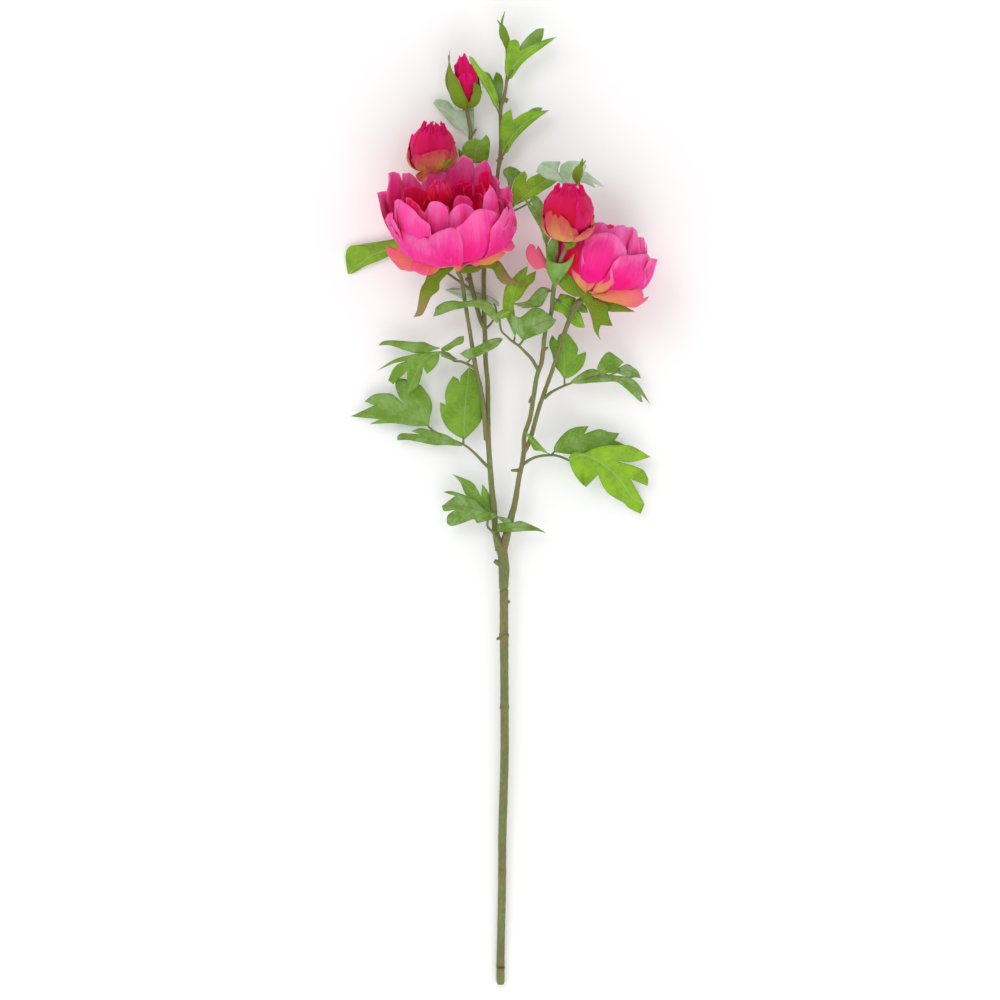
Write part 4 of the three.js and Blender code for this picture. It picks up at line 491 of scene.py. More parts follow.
        [46, 252], [43, 258], [40, 269], [35, 278], [29, 289], [24, 299], [19, 305], [33, 292],
        [30, 299], [36, 302], [41, 297], [44, 291], [46, 280], [48, 271], [50, 262]]),
    ],
  },
}

# How light each leaf is, from dark olive (0) to bright green (1), leaflet by leaflet.
LEAF_TONES = {
  "leaf_01": [0.35, 0.55, 0.3, 0.3],
  "leaf_02": [0.6, 0.45, 0.5],
  "leaf_03": [0.5, 0.55, 0.5, 0.45, 0.35],
  "leaf_04": [0.5, 0.6, 0.35, 0.95],
  "leaf_05": [0.6, 0.4, 0.5, 0.25],
  "leaf_06": [0.5, 0.85, 0.6],
  "leaf_07": [0.75],
  "leaf_08": [0.5],
  "leaf_09": [0.6],
  "leaf_10": [0.95, 0.4],
  "leaf_11": [0.75, 0.5],
  "leaf_12": [0.8, 0.5],
  "leaf_13": [0.85, 0.5],
  "leaf_14": [0.5, 0.5, 0.5],
  "leaf_15": [0.5],
  "leaf_16": [0.3],
  "leaf_17": [0.25],
  "leaf_18": [0.85, 0.6],
  "leaf_19": [0.5],
  "leaf_20": [0.35],
}
PALE_LEAVES = ("leaf_08", "leaf_14", "leaf_19")

# ---------------------------------------------------------------- flower tables


def flower_frame(base, axis):
    """A flower's own frame: up its axis, and angles from the side that faces up."""
    axis = np.array(axis) / np.linalg.norm(axis)
    front = UP - axis * UP.dot(axis)
    front /= np.linalg.norm(front)
    return {"base": np.array(base, float), "axis": axis, "front": front,
            "right": np.cross(axis, front)}


def in_flower(flower, height, radius, angle):
    """Points at a height up a flower's axis, a radius out from it and an angle."""
    height, radius, angle = np.broadcast_arrays(height, radius, angle)
    return (flower["base"] + height[..., None] * flower["axis"]
            + (radius * np.cos(angle))[..., None] * flower["front"]
            + (radius * np.sin(angle))[..., None] * flower["right"])


def cup_petal(hub, angle, lip, belly, width, shoulder=0.55, **more):
    """A petal that stands up in a cup: it swells to its belly and closes to its lip."""
    radius, foot = hub
    rise = lip[1] - foot
    petal = {
        "profile": [[radius * 0.85, foot], [belly, foot + 0.02 * rise],
                    [belly * 1.22, foot + shoulder * rise], lip],
        "angle": math.radians(angle), "spread": width / belly / 2, "outline": None,
        "facing": 1, "phase": angle, "crumple": 1.0, "curl": 1.2, "puff": 1.4,
        "tone": 0.5 + 0.5 * math.sin(angle * 0.37), "dye": 0, "flower": None,
        "creases": [(0.6, math.sin(angle) * 0.5, 0.3)],
    }
    petal.update(more)
    return petal


def lipped(hub, belly, lip, facing, outline, **more):
    """A petal of a cup whose lip is drawn as it is seen from above, left to right.

    The lip lies on the cup's shell: on its upper side where facing is 1, and on the inside of
    its far wall where facing is -1. Given 2 for its pair of silks, it takes the second pair: a
    real crimson on bloom A's inner petals, and painted shade on bloom B's shaded left petal.
    """
    return cup_petal(hub, sum(x for x, _ in outline), lip, belly, 1, facing=facing,
                     outline=outline, **more)


def hub_at(radius, level):
    """Radius and height of a bloom's disc, counted from the lowest."""
    return [radius, (level + 0.5) * HUB_STEP]


BLOOM_A = flower_frame([-43, 243, 48.5], [-0.05, 0.882, 0.469])
BLOOM_B = flower_frame([87, 206, 54.5], [0.3, 0.95, -0.06])
BUD_C = flower_frame([-69, 330, 20.5], [0.04, 0.965, 0.26])
BUD_D = flower_frame([66.5, 258, 107], [0.03, 0.97, 0.22])
BUD_E = flower_frame([-33.5, 392, 25.5], [-0.04, 0.99, 0.12])

A_HUBS = [hub_at(9, 0), hub_at(9, 1), hub_at(8, 2), hub_at(7, 3)]
A_GUARD = [
  # Left
  blade([56, 72, 6, -0.2, 0], 7, [[-87.1, 238.6], [-99.4, 239.6]], [
    [-46, 238], [-77, 239], [-89, 247], [-96, 252], [-104, 250], [-109, 252], [-113, 251],
    [-112, 244], [-106, 236], [-99, 229], [-94, 228], [-89, 227], [-77, 228], [-63, 231]],
    tone=0.3),
  # Lower left, pink
  blade([64, 92, 6, -0.2, 0], 7, [[-64.7, 232.4], [-71.8, 228.4]], [
    [-46, 236], [-65, 239], [-77, 240], [-86, 236], [-89, 231], [-87, 228], [-82, 225],
    [-75, 222], [-69, 223], [-64, 225], [-59, 230]], tone=0.8),
  # Front, frilled
  blade([66, 92, 4, -0.3, 0], 9, [[-51.9, 239.6], [-52.4, 238.1]], [
    [-43, 234], [-52, 244], [-60, 240], [-69, 231], [-71, 227], [-68, 228], [-64, 232],
    [-60, 236], [-54, 237], [-49, 236], [-46, 231], [-43, 227], [-40, 228], [-38, 234],
    [-42, 243]], tone=0.5),
  # Front, right frill
  blade([64, 92, 4, -0.2, 0], 5, [[-32, 239.6]], [
    [-36, 246], [-37, 242], [-38, 234], [-38, 228], [-35, 232], [-29, 234], [-24, 231],
    [-20, 234], [-22, 246]], tone=0.7),
  # Right
  blade([56, 78, 8, -0.25, 0], 8, [[-21.8, 240.6], [-2.4, 249.8]], [
    [-38, 238], [-38, 240], [-28, 246], [-18, 249], [-8, 253], [2, 258], [8, 260], [12, 257],
    [15, 251], [11, 247], [2, 247], [6, 245], [2, 241], [-10, 234], [-22, 234], [-32, 235]],
    tone=0.5),
  # Under, left
  blade([50, 44, -4, 0.1, 0], 4, [[-72.9, 253.9]], [
    [-46, 242], [-81, 243], [-89, 258], [-81, 264], [-65, 262], [-59, 248]], tone=0.4),
  # Under, right
  blade([50, 44, -4, 0.1, 0], 4, [[-23.9, 254.9]], [
    [-38, 242], [-38, 248], [-32, 262], [-18, 266], [-8, 260], [-16, 246]], tone=0.6),
]
A_OUTER = [
  # Front, lower left
  lipped(A_HUBS[1], 60, [60, 48], 1, [
    [-95, 258], [-96, 268], [-91, 263], [-82, 260], [-73, 258], [-63, 255], [-52, 252],
    [-48, 246]]),
  # Front, middle
  lipped(A_HUBS[1], 61.5, [58, 60], 1, [
    [-71, 254], [-68, 260], [-62, 263], [-55, 266], [-48, 268], [-43, 266], [-39, 260],
    [-37, 252], [-37, 245]]),
  # Front, right
  lipped(A_HUBS[1], 57.5, [54, 74], 1, [
    [-45, 252], [-43, 267], [-38, 271], [-32, 277], [-27, 283], [-22, 286], [-15, 286],
    [-9, 285], [-3, 282], [-8, 273], [-11, 263], [-9, 253]]),
  # Right
  lipped(A_HUBS[1], 60, [61, 68], 1, [
    [-10, 252], [-10, 259], [-9, 266], [-4, 276], [2, 285], [6, 290], [8, 284], [6, 275],
    [0, 264], [-6, 253]]),
  # Right edge
  lipped(A_HUBS[1], 58, [62, 66], 1, [
    [-4, 254], [0, 268], [6, 281], [10, 288], [12, 282], [11, 274], [7, 265], [0, 257]]),
  # Right, flaring
  lipped(A_HUBS[1], 56, [62, 74], -1, [
    [-8, 297], [-6, 307], [-2, 311], [3, 311], [8, 314], [9, 307], [13, 303], [11, 298],
    [7, 296], [6, 289]]),
  # Right, behind
  lipped(A_HUBS[1], 55, [56, 80], -1, [
    [-17, 311], [-16, 319], [-12, 324], [-6, 322], [-2, 316], [-3, 311], [-4, 303]]),
  # Back, right lobe
  lipped(A_HUBS[1], 55, [45, 92], -1, [
    [-29, 317], [-27, 326], [-24, 333], [-18, 336], [-13, 335], [-9, 328], [-11, 321],
    [-13, 312]]),
  # Back, left lobe
  lipped(A_HUBS[1], 56.5, [43, 96], -1, [
    [-59, 317], [-56, 328], [-51, 331], [-46, 333], [-43, 338], [-38, 341], [-33, 341],
    [-28, 339], [-25, 330], [-24, 319]]),
  # Back, behind the ball
  lipped(A_HUBS[1], 55, [44, 88], -1, [
    [-79, 303], [-77, 316], [-73, 322], [-68, 326], [-61, 328], [-54, 327], [-50, 317]]),
  # Left, behind
  lipped(A_HUBS[1], 55, [58, 84], -1, [
    [-99, 299], [-96, 317], [-96, 325], [-90, 326], [-85, 323], [-80, 317], [-76, 305]]),
  # Left, behind, outer lobe
  lipped(A_HUBS[1], 57, [63, 82], -1, [
    [-110, 297], [-112, 310], [-115, 316], [-111, 323], [-104, 326], [-99, 324], [-96, 317],
    [-95, 303]]),
  # Left, flaring
  lipped(A_HUBS[1], 58, [72, 70], -1, [
    [-108, 278], [-111, 289], [-113, 298], [-118, 304], [-116, 307], [-110, 308], [-104, 303],
    [-99, 289]]),
  # Left edge
  lipped(A_HUBS[1], 59, [66, 66], 1, [
    [-99, 263], [-106, 271], [-111, 277], [-110, 282], [-107, 284], [-104, 279], [-98, 268]]),
  # Left front
  lipped(A_HUBS[1], 56.5, [58, 80], 1, [
    [-95, 260], [-99, 273], [-101, 286], [-104, 295], [-100, 297], [-95, 295], [-89, 291],
    [-84, 285], [-78, 278], [-73, 274], [-69, 270], [-68, 263], [-69, 257]]),
  *[cup_petal(A_HUBS[1], angle, [53, 52], 57, 50) for angle in (-104, -72, 72, 104)],
  *[cup_petal(A_HUBS[1], angle, [48, 50], 52, 52) for angle in (-140, 180, 140)],
]
A_INNER = [
  # Inner left, with a peach tip
  lipped(A_HUBS[2], 48, [50, 80], 1, [
    [-89, 272], [-91, 289], [-91, 296], [-89, 299], [-85, 296], [-80, 290], [-74, 284],
    [-73, 275]], dye=2),
  # Centre left
  lipped(A_HUBS[2], 46, [39, 82], 1, [
    [-73, 262], [-76, 278], [-74, 284], [-70, 290], [-66, 294], [-60, 294], [-55, 291],
    [-51, 285], [-51, 278], [-52, 270]]),
  # Centre right
  lipped(A_HUBS[2], 45, [40, 80], 1, [
    [-52, 268], [-52, 276], [-49, 283], [-44, 289], [-38, 292], [-32, 291], [-27, 287],
    [-24, 280], [-25, 270]]),
  # Right, inner lobe
  lipped(A_HUBS[2], 47, [44, 84], 1, [
    [-16, 272], [-17, 289], [-17, 297], [-15, 303], [-11, 311], [-7, 307], [-4, 300], [-3, 294],
    [-7, 284], [-9, 273]]),
  # Left back, red
  lipped(A_HUBS[2], 45, [46, 82], -1, [
    [-96, 284], [-95, 303], [-91, 310], [-86, 312], [-79, 310], [-72, 307], [-66, 303],
    [-60, 297]], dye=2),
  # Right back, red
  lipped(A_HUBS[2], 44, [42, 86], -1, [
    [-26, 299], [-23, 315], [-20, 325], [-15, 327], [-11, 319], [-11, 307], [-13, 295]],
    dye=2),
  # Back, red
  lipped(A_HUBS[2], 45, [36, 90], -1, [
    [-52, 299], [-48, 313], [-43, 317], [-38, 319], [-32, 317], [-27, 314], [-22, 307],
    [-20, 297]], dye=2),
  # Right, red
  lipped(A_HUBS[2], 42, [40, 78], -1, [
    [-28, 282], [-26, 295], [-22, 303], [-17, 305], [-13, 299], [-13, 286]], dye=2),
]
# The small ball of petals in the heart
ROSE_BALL = flower_frame([-60, 305, 78], [0, 0.78, 0.62])
A_HEART = [
  # Left fold
  lipped(A_HUBS[3], 36, [32, 78], -1, [
    [-81, 282], [-79, 295], [-75, 302], [-69, 304], [-63, 302], [-60, 295], [-61, 284]],
    curl=-3),
  # Middle fold
  lipped(A_HUBS[3], 26, [22, 76], -1, [
    [-64, 286], [-61, 299], [-56, 303], [-49, 305], [-46, 301], [-45, 293], [-48, 284]],
    curl=-3),
  # Back fold
  lipped(A_HUBS[3], 30, [26, 82], -1, [
    [-49, 297], [-46, 309], [-43, 315], [-38, 316], [-36, 311], [-35, 303], [-38, 295]],
    curl=-2),
  # Back right fold
  lipped(A_HUBS[3], 33, [28, 82], -1, [
    [-38, 297], [-36, 307], [-32, 314], [-27, 315], [-25, 309], [-26, 301], [-30, 293]],
    curl=-3),
  # Far right fold
  lipped(A_HUBS[3], 36, [33, 80], -1, [
    [-30, 295], [-28, 307], [-24, 313], [-18, 315], [-14, 311], [-14, 303], [-16, 293]],
    curl=-2),
  # Right fold
  lipped(A_HUBS[3], 31, [28, 74], -1, [
    [-32, 286], [-28, 299], [-26, 304], [-21, 307], [-16, 306], [-14, 301], [-16, 291],
    [-22, 286]], curl=-4),
  # Small rose petal
  lipped(A_HUBS[3], 25, [19, 72], 1, [
    [-47, 282], [-46, 293], [-44, 299], [-41, 301], [-37, 301], [-32, 299], [-29, 294],
    [-30, 289], [-32, 282]]),
  # Front left
  lipped(A_HUBS[3], 30, [24, 68], 1, [
    [-65, 276], [-64, 286], [-59, 291], [-52, 290], [-50, 282]], curl=-3),
  # Front right
  lipped(A_HUBS[3], 30, [26, 66], 1, [
    [-42, 278], [-38, 289], [-32, 291], [-27, 289], [-24, 282]], curl=-3),
  *[cup_petal([2, -14], angle, [-0.5, 12], 13, 30, 0.9, flower=ROSE_BALL, puff=0.8)
    for angle in (-70, 10, 90, 170, 250)],
]
A_CALYX = {
  "bottom": -13, "top": -0.1, "radius": 7, "tones": [0.35, 0.3, 0.5],
  "sepals": [
    blade([42, 34, 2, -0.1, 0], 6, [[-62, 222], [-75, 204]], [
      [-44, 233], [-60, 231], [-72, 225], [-75, 218], [-79.3, 210.4], [-83.1, 189.4],
      [-86.5, 182.7], [-77.4, 185.5], [-68.8, 202.8], [-61.1, 209.5], [-59.7, 218]]),
    blade([43, 45, -2, -0.1, 0], 5, [[-20, 235.5], [-3, 230], [8, 219]], [
      [-43, 231], [-20, 240], [-2, 239], [5.7, 229.4], [11.8, 221.2], [29, 214], [18, 215.4],
      [4.7, 215.2], [-2.4, 221], [-8, 230.4], [-20, 231], [-36, 226]]),
    blade([44, 47, 0, -0.1, 0], 2, [[-30, 231]], [
      [-42, 232], [-30, 235], [-18, 231], [-24, 227], [-38, 226.5]]),
  ],
}

B_HUBS = [hub_at(8, 0), hub_at(8, 1), hub_at(7, 2), hub_at(6, 3)]
B_GUARD = [
  # Lower left
  blade([70, 92, 5, -0.2, 0], 5, [[81.6, 219.9], [81.6, 227.6]], [
    [85, 206], [76, 215], [71, 225], [71, 231], [76, 235], [82, 237], [86, 238], [90, 233],
    [90, 225], [88, 216], [88, 211]], tone=0.9),
  # Front, peach
  blade([70, 100, 3, -0.2, 0], 5, [[99.5, 212.2]], [
    [88, 206], [92, 207], [95, 215], [98, 220], [105, 224], [111, 220], [113, 215], [109, 211],
    [102, 206]], tone=0.3),
  # Small
  blade([70, 88, 1, -0.1, 0], 4, [[89.9, 213.5]], [
    [85, 207], [87, 211], [86, 216], [90, 217], [95, 217], [92, 211]], tone=0.2),
  # Right
  blade([66, 84, 5, -0.15, 0], 7, [[109.7, 203.3], [127.6, 199.5]], [
    [90, 204], [102, 206], [111, 210], [119, 210], [129, 208], [138, 209], [142, 205],
    [142, 200], [148, 202], [144, 197], [135, 191], [128, 191], [115, 195], [102, 198]],
    tone=0.3),
  # Far left, broad
  blade([62, 66, 6, -0.15, 0], 9, [[54.8, 222.4], [42.1, 236.5]], [
    [84, 207], [71, 210], [59, 221], [48, 236], [44, 242], [41, 248], [38, 253], [36, 249],
    [34, 253], [30, 255], [26, 248], [27, 239], [31, 233], [36, 229], [45, 230], [55, 217],
    [69, 205]], tone=0.6),
  # Under, left
  blade([48, 40, -3, 0.1, 0], 4, [[79.1, 225]], [
    [84, 207], [71, 212], [66, 228], [76, 238], [89, 233], [89, 215]], tone=0.4),
  # Under, right
  blade([48, 40, -3, 0.1, 0], 4, [[118.6, 221.2]], [
    [90, 206], [105, 211], [108, 228], [121, 235], [134, 225], [122, 207]], tone=0.6),
]
B_OUTER = [
  # Right front
  lipped(B_HUBS[1], 52, [48, 50], 1, [
    [110, 211], [110, 229], [113, 236], [120, 241], [129, 242], [136, 243], [142, 243],
    [147, 242], [149, 235], [148, 229], [143, 221], [138, 212]]),
  # Middle front
  lipped(B_HUBS[1], 50, [42, 62], 1, [
    [88, 215], [84, 235], [83, 249], [85, 259], [93, 262], [101, 264], [107, 264], [113, 261],
    [119, 255], [124, 248], [125, 242], [119, 238], [114, 231], [111, 221]]),
  # Left, in the crimson silk: painted shade for the shadow on this side of the bloom
  lipped(B_HUBS[1], 47, [42, 56], 1, [
    [61, 222], [60, 238], [64, 248], [71, 256], [79, 260], [85, 260], [89, 253]], dye=2),
  # Right edge, curled out
  lipped(B_HUBS[1], 50, [54, 52], 1, [
    [140, 212], [142, 228], [146, 236], [150, 240], [155, 238], [153, 235], [148, 231],
    [147, 224], [142, 216]]),
  *[cup_petal(B_HUBS[1], angle, [44, 56], 47, 44) for angle in (100, 140, 180, 220, 260)],
]
B_INNER = [
  # Right, behind
  lipped(B_HUBS[2], 46, [40, 62], 1, [
    [140, 235], [144, 249], [146, 256], [149, 259], [153, 259], [155, 252], [155, 250],
    [151, 251], [149, 248], [147, 238]]),
  # Far right
  lipped(B_HUBS[2], 44, [36, 66], 1, [
    [128, 253], [130, 268], [135, 266], [137, 262], [142, 261], [146, 258], [144, 250],
    [142, 240]]),
  # Back right
  lipped(B_HUBS[2], 42, [30, 70], 1, [
    [102, 250], [108, 265], [114, 270], [120, 272], [126, 271], [131, 269], [135, 266],
    [138, 253]]),
  # Back, darker
  lipped(B_HUBS[2], 38, [28, 72], 1, [
    [100, 258], [104, 272], [108, 273], [112, 271], [114, 258]], dye=2),
  # Back left
  lipped(B_HUBS[2], 43, [30, 70], 1, [
    [79, 245], [87, 264], [92, 272], [97, 274], [102, 273], [107, 269], [108, 256]]),
  *[cup_petal(B_HUBS[2], angle, [30, 66], 38, 36) for angle in (-60, 0, 60, 120, 180, 240)],
]
B_HEART = [
  cup_petal(B_HUBS[3], angle, [16, 64], 27, 30) for angle in (0, 72, 144, 216, 288)
]
B_CALYX = {
  "bottom": -9.5, "top": -0.1, "radius": 7, "tones": [0.4, 0.3, 0.35],
  "sepals": [
    blade([60, 78, 5, -0.1, 0], 4, [[76, 211]], [
      [88, 202], [90, 208], [79.1, 218.6], [69.5, 226.9], [62.5, 224.4], [58.9, 217.3],
      [60.4, 211], [66.3, 205.9], [75.3, 202]]),
    blade([60, 56, 0, -0.15, 0], 5, [[92, 188], [96, 172]], [
      [86, 204], [81, 199.5], [88, 189.3], [91.2, 180.4], [93.8, 168.9], [100.1, 159.3],
      [98.2, 166.3], [100.1, 174], [112.2, 173.3], [107.8, 185.5], [107.1, 195.7], [94, 201]]),
    blade([56, 56, 0, -0.1, 0], 3, [[112, 192.4]], [
      [90, 203], [100, 200], [119.9, 195], [134.6, 187.4], [122.4, 187.4], [108, 188],
      [96, 194]]),
  ],
}

# Half-open buds
C_HEART = [
  # Front
  lipped(BUD_HUB, 23.4, [5, 45], 1, [
    [-88.6, 344], [-89.8, 353.2], [-88.6, 361.3], [-86.7, 366.4], [-85.4, 370.5],
    [-82.9, 376.6], [-80.3, 372], [-75.2, 379.7], [-72.2, 375.4], [-68.7, 382.5], [-66, 375.4],
    [-62.2, 372.6], [-58.6, 368.5], [-54.6, 362.3], [-51.5, 354.2], [-50.5, 346]],
    shoulder=0.85),
  # Right
  lipped(BUD_HUB, 24, [6, 44], 1, [
    [-66.3, 349.1], [-64.2, 364.4], [-61.2, 373.1], [-57.1, 370.5], [-52, 365.4],
    [-47.4, 359.8], [-45.9, 354.2], [-46.4, 346.5]], shoulder=0.85),
  # Left
  lipped(BUD_HUB, 24, [5, 45], 1, [
    [-89.2, 341.4], [-90, 351.1], [-89.2, 359.3], [-88.3, 364.4], [-92.8, 368.2],
    [-86.7, 365.9], [-81.6, 363.4], [-78.5, 354.2]], shoulder=0.85),
  *[cup_petal(BUD_HUB, angle, [6, 44], 22, 30, crumple=0.4, shoulder=0.85)
    for angle in (-90, 90, 150, 210)],
  *[cup_petal(BUD_HUB, angle, [7, 50], 19, 9, shoulder=0.8) for angle in (-50, -15, 20, 60)],
]
C_FOOT = [
  # Front
  lipped(FOOT_HUB, 24.8, [16, 36], 1, [
    [-86.4, 338.9], [-85.8, 343], [-83.1, 344.7], [-79, 344], [-73.4, 345.3], [-67.3, 347.3],
    [-61.2, 348.8], [-56.1, 348.8], [-51, 347.6], [-50.2, 343]]),
  # Right
  lipped(FOOT_HUB, 24.6, [14, 40], 1, [
    [-51, 338.9], [-51, 346], [-48.9, 350.1], [-47.9, 355.2], [-45.6, 360.3], [-43.3, 356.2],
    [-42.2, 350.1], [-42.8, 343], [-44.9, 338.4]]),
  # Below, orange
  blade([19, 18, 0, 0.1, 0], 4, [[-77, 324.5]], [
    [-69, 323], [-70.4, 327.1], [-77.5, 328.9], [-81.6, 328.4], [-84.8, 325.1], [-82.6, 321],
    [-79, 318.5], [-72, 320.5]], tone=0.1),
  *[cup_petal(FOOT_HUB, angle, [20, 26], 23.6, 34) for angle in (-110, 110, 180)],
]
D_HEART = [
  # Front
  lipped(BUD_HUB, 26, [5, 51], 1, [
    [44.9, 273.5], [44.1, 288.8], [46.6, 299.6], [51, 307.3], [56.1, 311.7], [59.9, 313.3],
    [63.8, 318.1], [66.3, 314.9], [71.4, 316.6], [79.1, 314.3], [84.8, 310.5], [89.3, 296.4],
    [89.3, 278.6]], shoulder=0.85),
  # Right
  lipped(BUD_HUB, 26.5, [6, 50], 1, [
    [71.4, 268.4], [75.3, 292.6], [80.4, 310.5], [88, 313], [93.8, 305.4], [99.7, 306],
    [95.9, 296.4], [95.9, 283.7], [93.8, 272.2]], shoulder=0.85),
  *[cup_petal(BUD_HUB, angle, [6, 50], 24, 36, crumple=0.4, shoulder=0.85)
    for angle in (-90, 90, 150, 210)],
  *[cup_petal(BUD_HUB, angle, [9, 56], 20, 9, shoulder=0.8) for angle in (-60, -20, 20, 60)],
]
D_FOOT = [
  # Lower left
  lipped(FOOT_HUB, 25.6, [18, 40], 1, [
    [44.9, 272.2], [45.4, 279.2], [49.1, 282.7], [54.8, 284.9], [59.9, 279.8], [66.3, 274.7],
    [70.2, 268.4], [75.3, 265.6], [76.5, 262]]),
  # Right
  lipped(FOOT_HUB, 25.2, [18, 34], 1, [
    [71.4, 259.2], [76.5, 262.2], [82.9, 265.2], [89.3, 269.4], [94.1, 274.7], [95, 268.4],
    [92.5, 263.3]]),
  *[cup_petal(FOOT_HUB, angle, [22, 26], 24, 34) for angle in (-110, 110, 180)],
]
C_CALYX = {
  "bottom": -7.5, "top": -4, "radius": 3.6, "tones": [0.6],
  "sepals": [blade([28, 46, 3, -0.1, 0], 5, [[-65, 329.4], [-56, 333.5]], [
    [-78.8, 328.8], [-71.4, 329.8], [-63.2, 331], [-58.1, 333.3], [-54, 337.9], [-48.9, 340.9],
    [-48.4, 338.4], [-53, 332.8], [-57.1, 329.2], [-64.2, 327.5], [-71.4, 326.7]])],
}
D_CALYX = {
  "bottom": -7, "top": -4, "radius": 3.4, "tones": [0.3],
  "sepals": [blade([106, 108, 0, -0.1, 0], 2, [[71, 251]], [
    [64, 250], [68, 255.5], [76, 257.5], [74, 251], [68, 247.5]])],
}

# Closed bud
E_SEPALS = [
  # Left
  lipped([4, 0], 17, [13, 60], 1, [
    [-52.5, 403.5], [-53.1, 412.2], [-52.5, 426.5], [-55.2, 437], [-53.5, 437], [-53.3, 448],
    [-52.7, 451.9], [-50.6, 448.5], [-48.5, 440.9], [-47.1, 429.4], [-43.9, 423.2],
    [-41.1, 418.4], [-38.2, 412.2], [-35.3, 405.9], [-32, 398.3]],
    tone=0.55),
  # Right
  lipped([4, 0], 16.8, [13, 34], 1, [
    [-32, 396.4], [-30.1, 398.3], [-28.2, 405.9], [-27.2, 412.2], [-25.8, 416.7],
    [-23.9, 415.5], [-21.7, 411.7], [-19.5, 407.8], [-19.1, 403.5]]),
  *[cup_petal([4, 0], angle, [12, 34], 15.6, 30) for angle in (150, 215)],
]
E_LIPS = [
  # Front
  lipped([4, 0.5], 12.6, [8, 44], 1, [
    [-34.4, 403.5], [-38.2, 413.1], [-41.3, 419.3], [-38.2, 424.6], [-34.4, 427],
    [-30.6, 425.6], [-27.2, 419.8], [-27.2, 412.2], [-29.6, 402.6]]),
  cup_petal([4, 2], 60, [9, 46], 11, 20), cup_petal([4, 2], -25, [5, 54], 11, 20),
]
E_BODY = [[2.5, 4], [12, 9.6], [24, 10.4], [36, 8], [45, 5], [55, 0.8]]

TINY_BUD_F = [
  [[6.8, 453, 26.1, 2.2], [6, 459.5, 26.6, 3.9], [4, 465, 27, 4.6], [2.6, 471, 27.6, 3.6],
   [1.2, 476, 28, 1.6]],
  [[1.6, 474.5, 28, 1.5], [2.2, 480, 28.4, 1.0], [4.9, 488.6, 29.6, 0.4]],
  [[1.4, 474, 28, 1.2], [-2.7, 480.4, 27.6, 0.4]],
]
TINY_BUD_G = [
  [[77, 313.6, 87.6, 2.0], [76.4, 319.4, 89.2, 4.6], [76.8, 323, 90, 5.4],
   [78.6, 328, 91, 4.0], [80.2, 331.4, 91.6, 2.0]],
  [[80, 330, 91.4, 1.9], [80.9, 334, 92, 1.5], [81.8, 338, 92.6, 0.4]],
  [[81, 331, 90.6, 1.1], [85.1, 336.1, 90, 0.4]],
]

# ---------------------------------------------------------------- colours and sizes


def srgb(red, green, blue):
    """A linear colour from red, green and blue of 0 to 255."""
    linear = []
    for value in (red / 255, green / 255, blue / 255):
        linear.append(value / 12.92 if value <= 0.04045 else ((value + 0.055) / 1.055) ** 2.4)
    return (*linear, 1.0)


def colour(name, description, value):
    """A colour in the sidebar, from red, green and blue of 0 to 255."""
    return bpy.props.FloatVectorProperty(
        name=name, description=description, default=srgb(*value),
        subtype="COLOR", size=4, min=0, max=1,
    )


def length(name, description, value):
    """A length in the sidebar, in metres."""
    return bpy.props.FloatProperty(
        name=name, description=description, default=value, min=0.0,
        unit="LENGTH", subtype="DISTANCE", precision=5,
    )


class PeonySizes(bpy.types.PropertyGroup):
    """Sizes of the cloth and the moulded stems, in metres."""

    leaf_thickness: length("Leaf thickness", "Thickness of the leaf cloth", 0.0006)
    petal_thickness: length("Petal thickness", "Thickness of the petal silk", 0.0005)
    vein_spacing: length("Vein spacing", "Distance between a leaf's side veins", 0.007)
    leaf_grid: length("Leaf grid", "Distance between the points of a leaf", 0.0026)
    stem_step: length("Stem step", "Distance between the rings of a stem", 0.0016)
    stem_knobs: length("Stem knobs", "How far the stem's skin rises and dips", 0.0008)


class PeonyColours(bpy.types.PropertyGroup):
    """Colours of the silk, the leaves and the stems."""

    pink_pale: colour("Pink, pale", "Lips of the bloom petals", (254, 116, 182))
    pink_light: colour("Pink, light", "Body of the bloom petals", (255, 64, 156))
    # Painted shade in part: this deeper pink at the foot of the bloom petals is partly their own
    # colour, partly shade down in the cup.
    pink: colour("Pink", "Foot and folds of the bloom petals", (255, 0, 128))
    # Painted shade: the darker lip of the heart silk's inside copy.
    pink_deep: colour("Pink, deep", "Lips inside the heart of a bloom", (238, 0, 100))
    crimson: colour("Crimson", "Petals in the heart of a bloom", (240, 0, 60))
    # Partly painted shade: besides the folds, the foot of the darker inside copies of the heart
    # and bud silks.
    crimson_deep: colour("Crimson, deep", "Folds in the heart of a bloom", (206, 0, 28))
    salmon: colour("Salmon", "Guard petals under a bloom", (238, 112, 122))
    salmon_pink: colour("Salmon pink", "Lips of the guard petals", (238, 96, 148))
    peach: colour("Peach", "Foot of the guard petals", (226, 152, 84))
    bud_red: colour("Bud red", "Petals of the half-open buds", (224, 4, 92))
    bud_tan: colour("Bud tan", "Foot petals of the half-open buds", (196, 92, 62))
    leaf_bright: colour("Leaf, bright", "Young upper side of a leaf", (146, 196, 0))
    leaf_green: colour("Leaf, green", "Upper side of a leaf", (108, 156, 6))
    leaf_dark: colour("Leaf, dark", "Old upper side of a leaf", (84, 124, 6))
    leaf_under: colour("Leaf, underside", "Pale underside of a leaf", (190, 214, 186))
    olive: colour("Olive", "Sepals under the flowers", (122, 140, 20))
    tan: colour("Tan", "Dry tips of sepals and patches on the stem", (166, 134, 88))
    stem_green: colour("Stem, green", "Moulded stem", (108, 140, 82))
    stem_brown: colour("Stem, brown", "Streaks on the stem, and ribs", (128, 100, 74))
    floor: colour("Floor", "Pale floor under the spray", (250, 250, 250))


# ---------------------------------------------------------------- cloth sheets


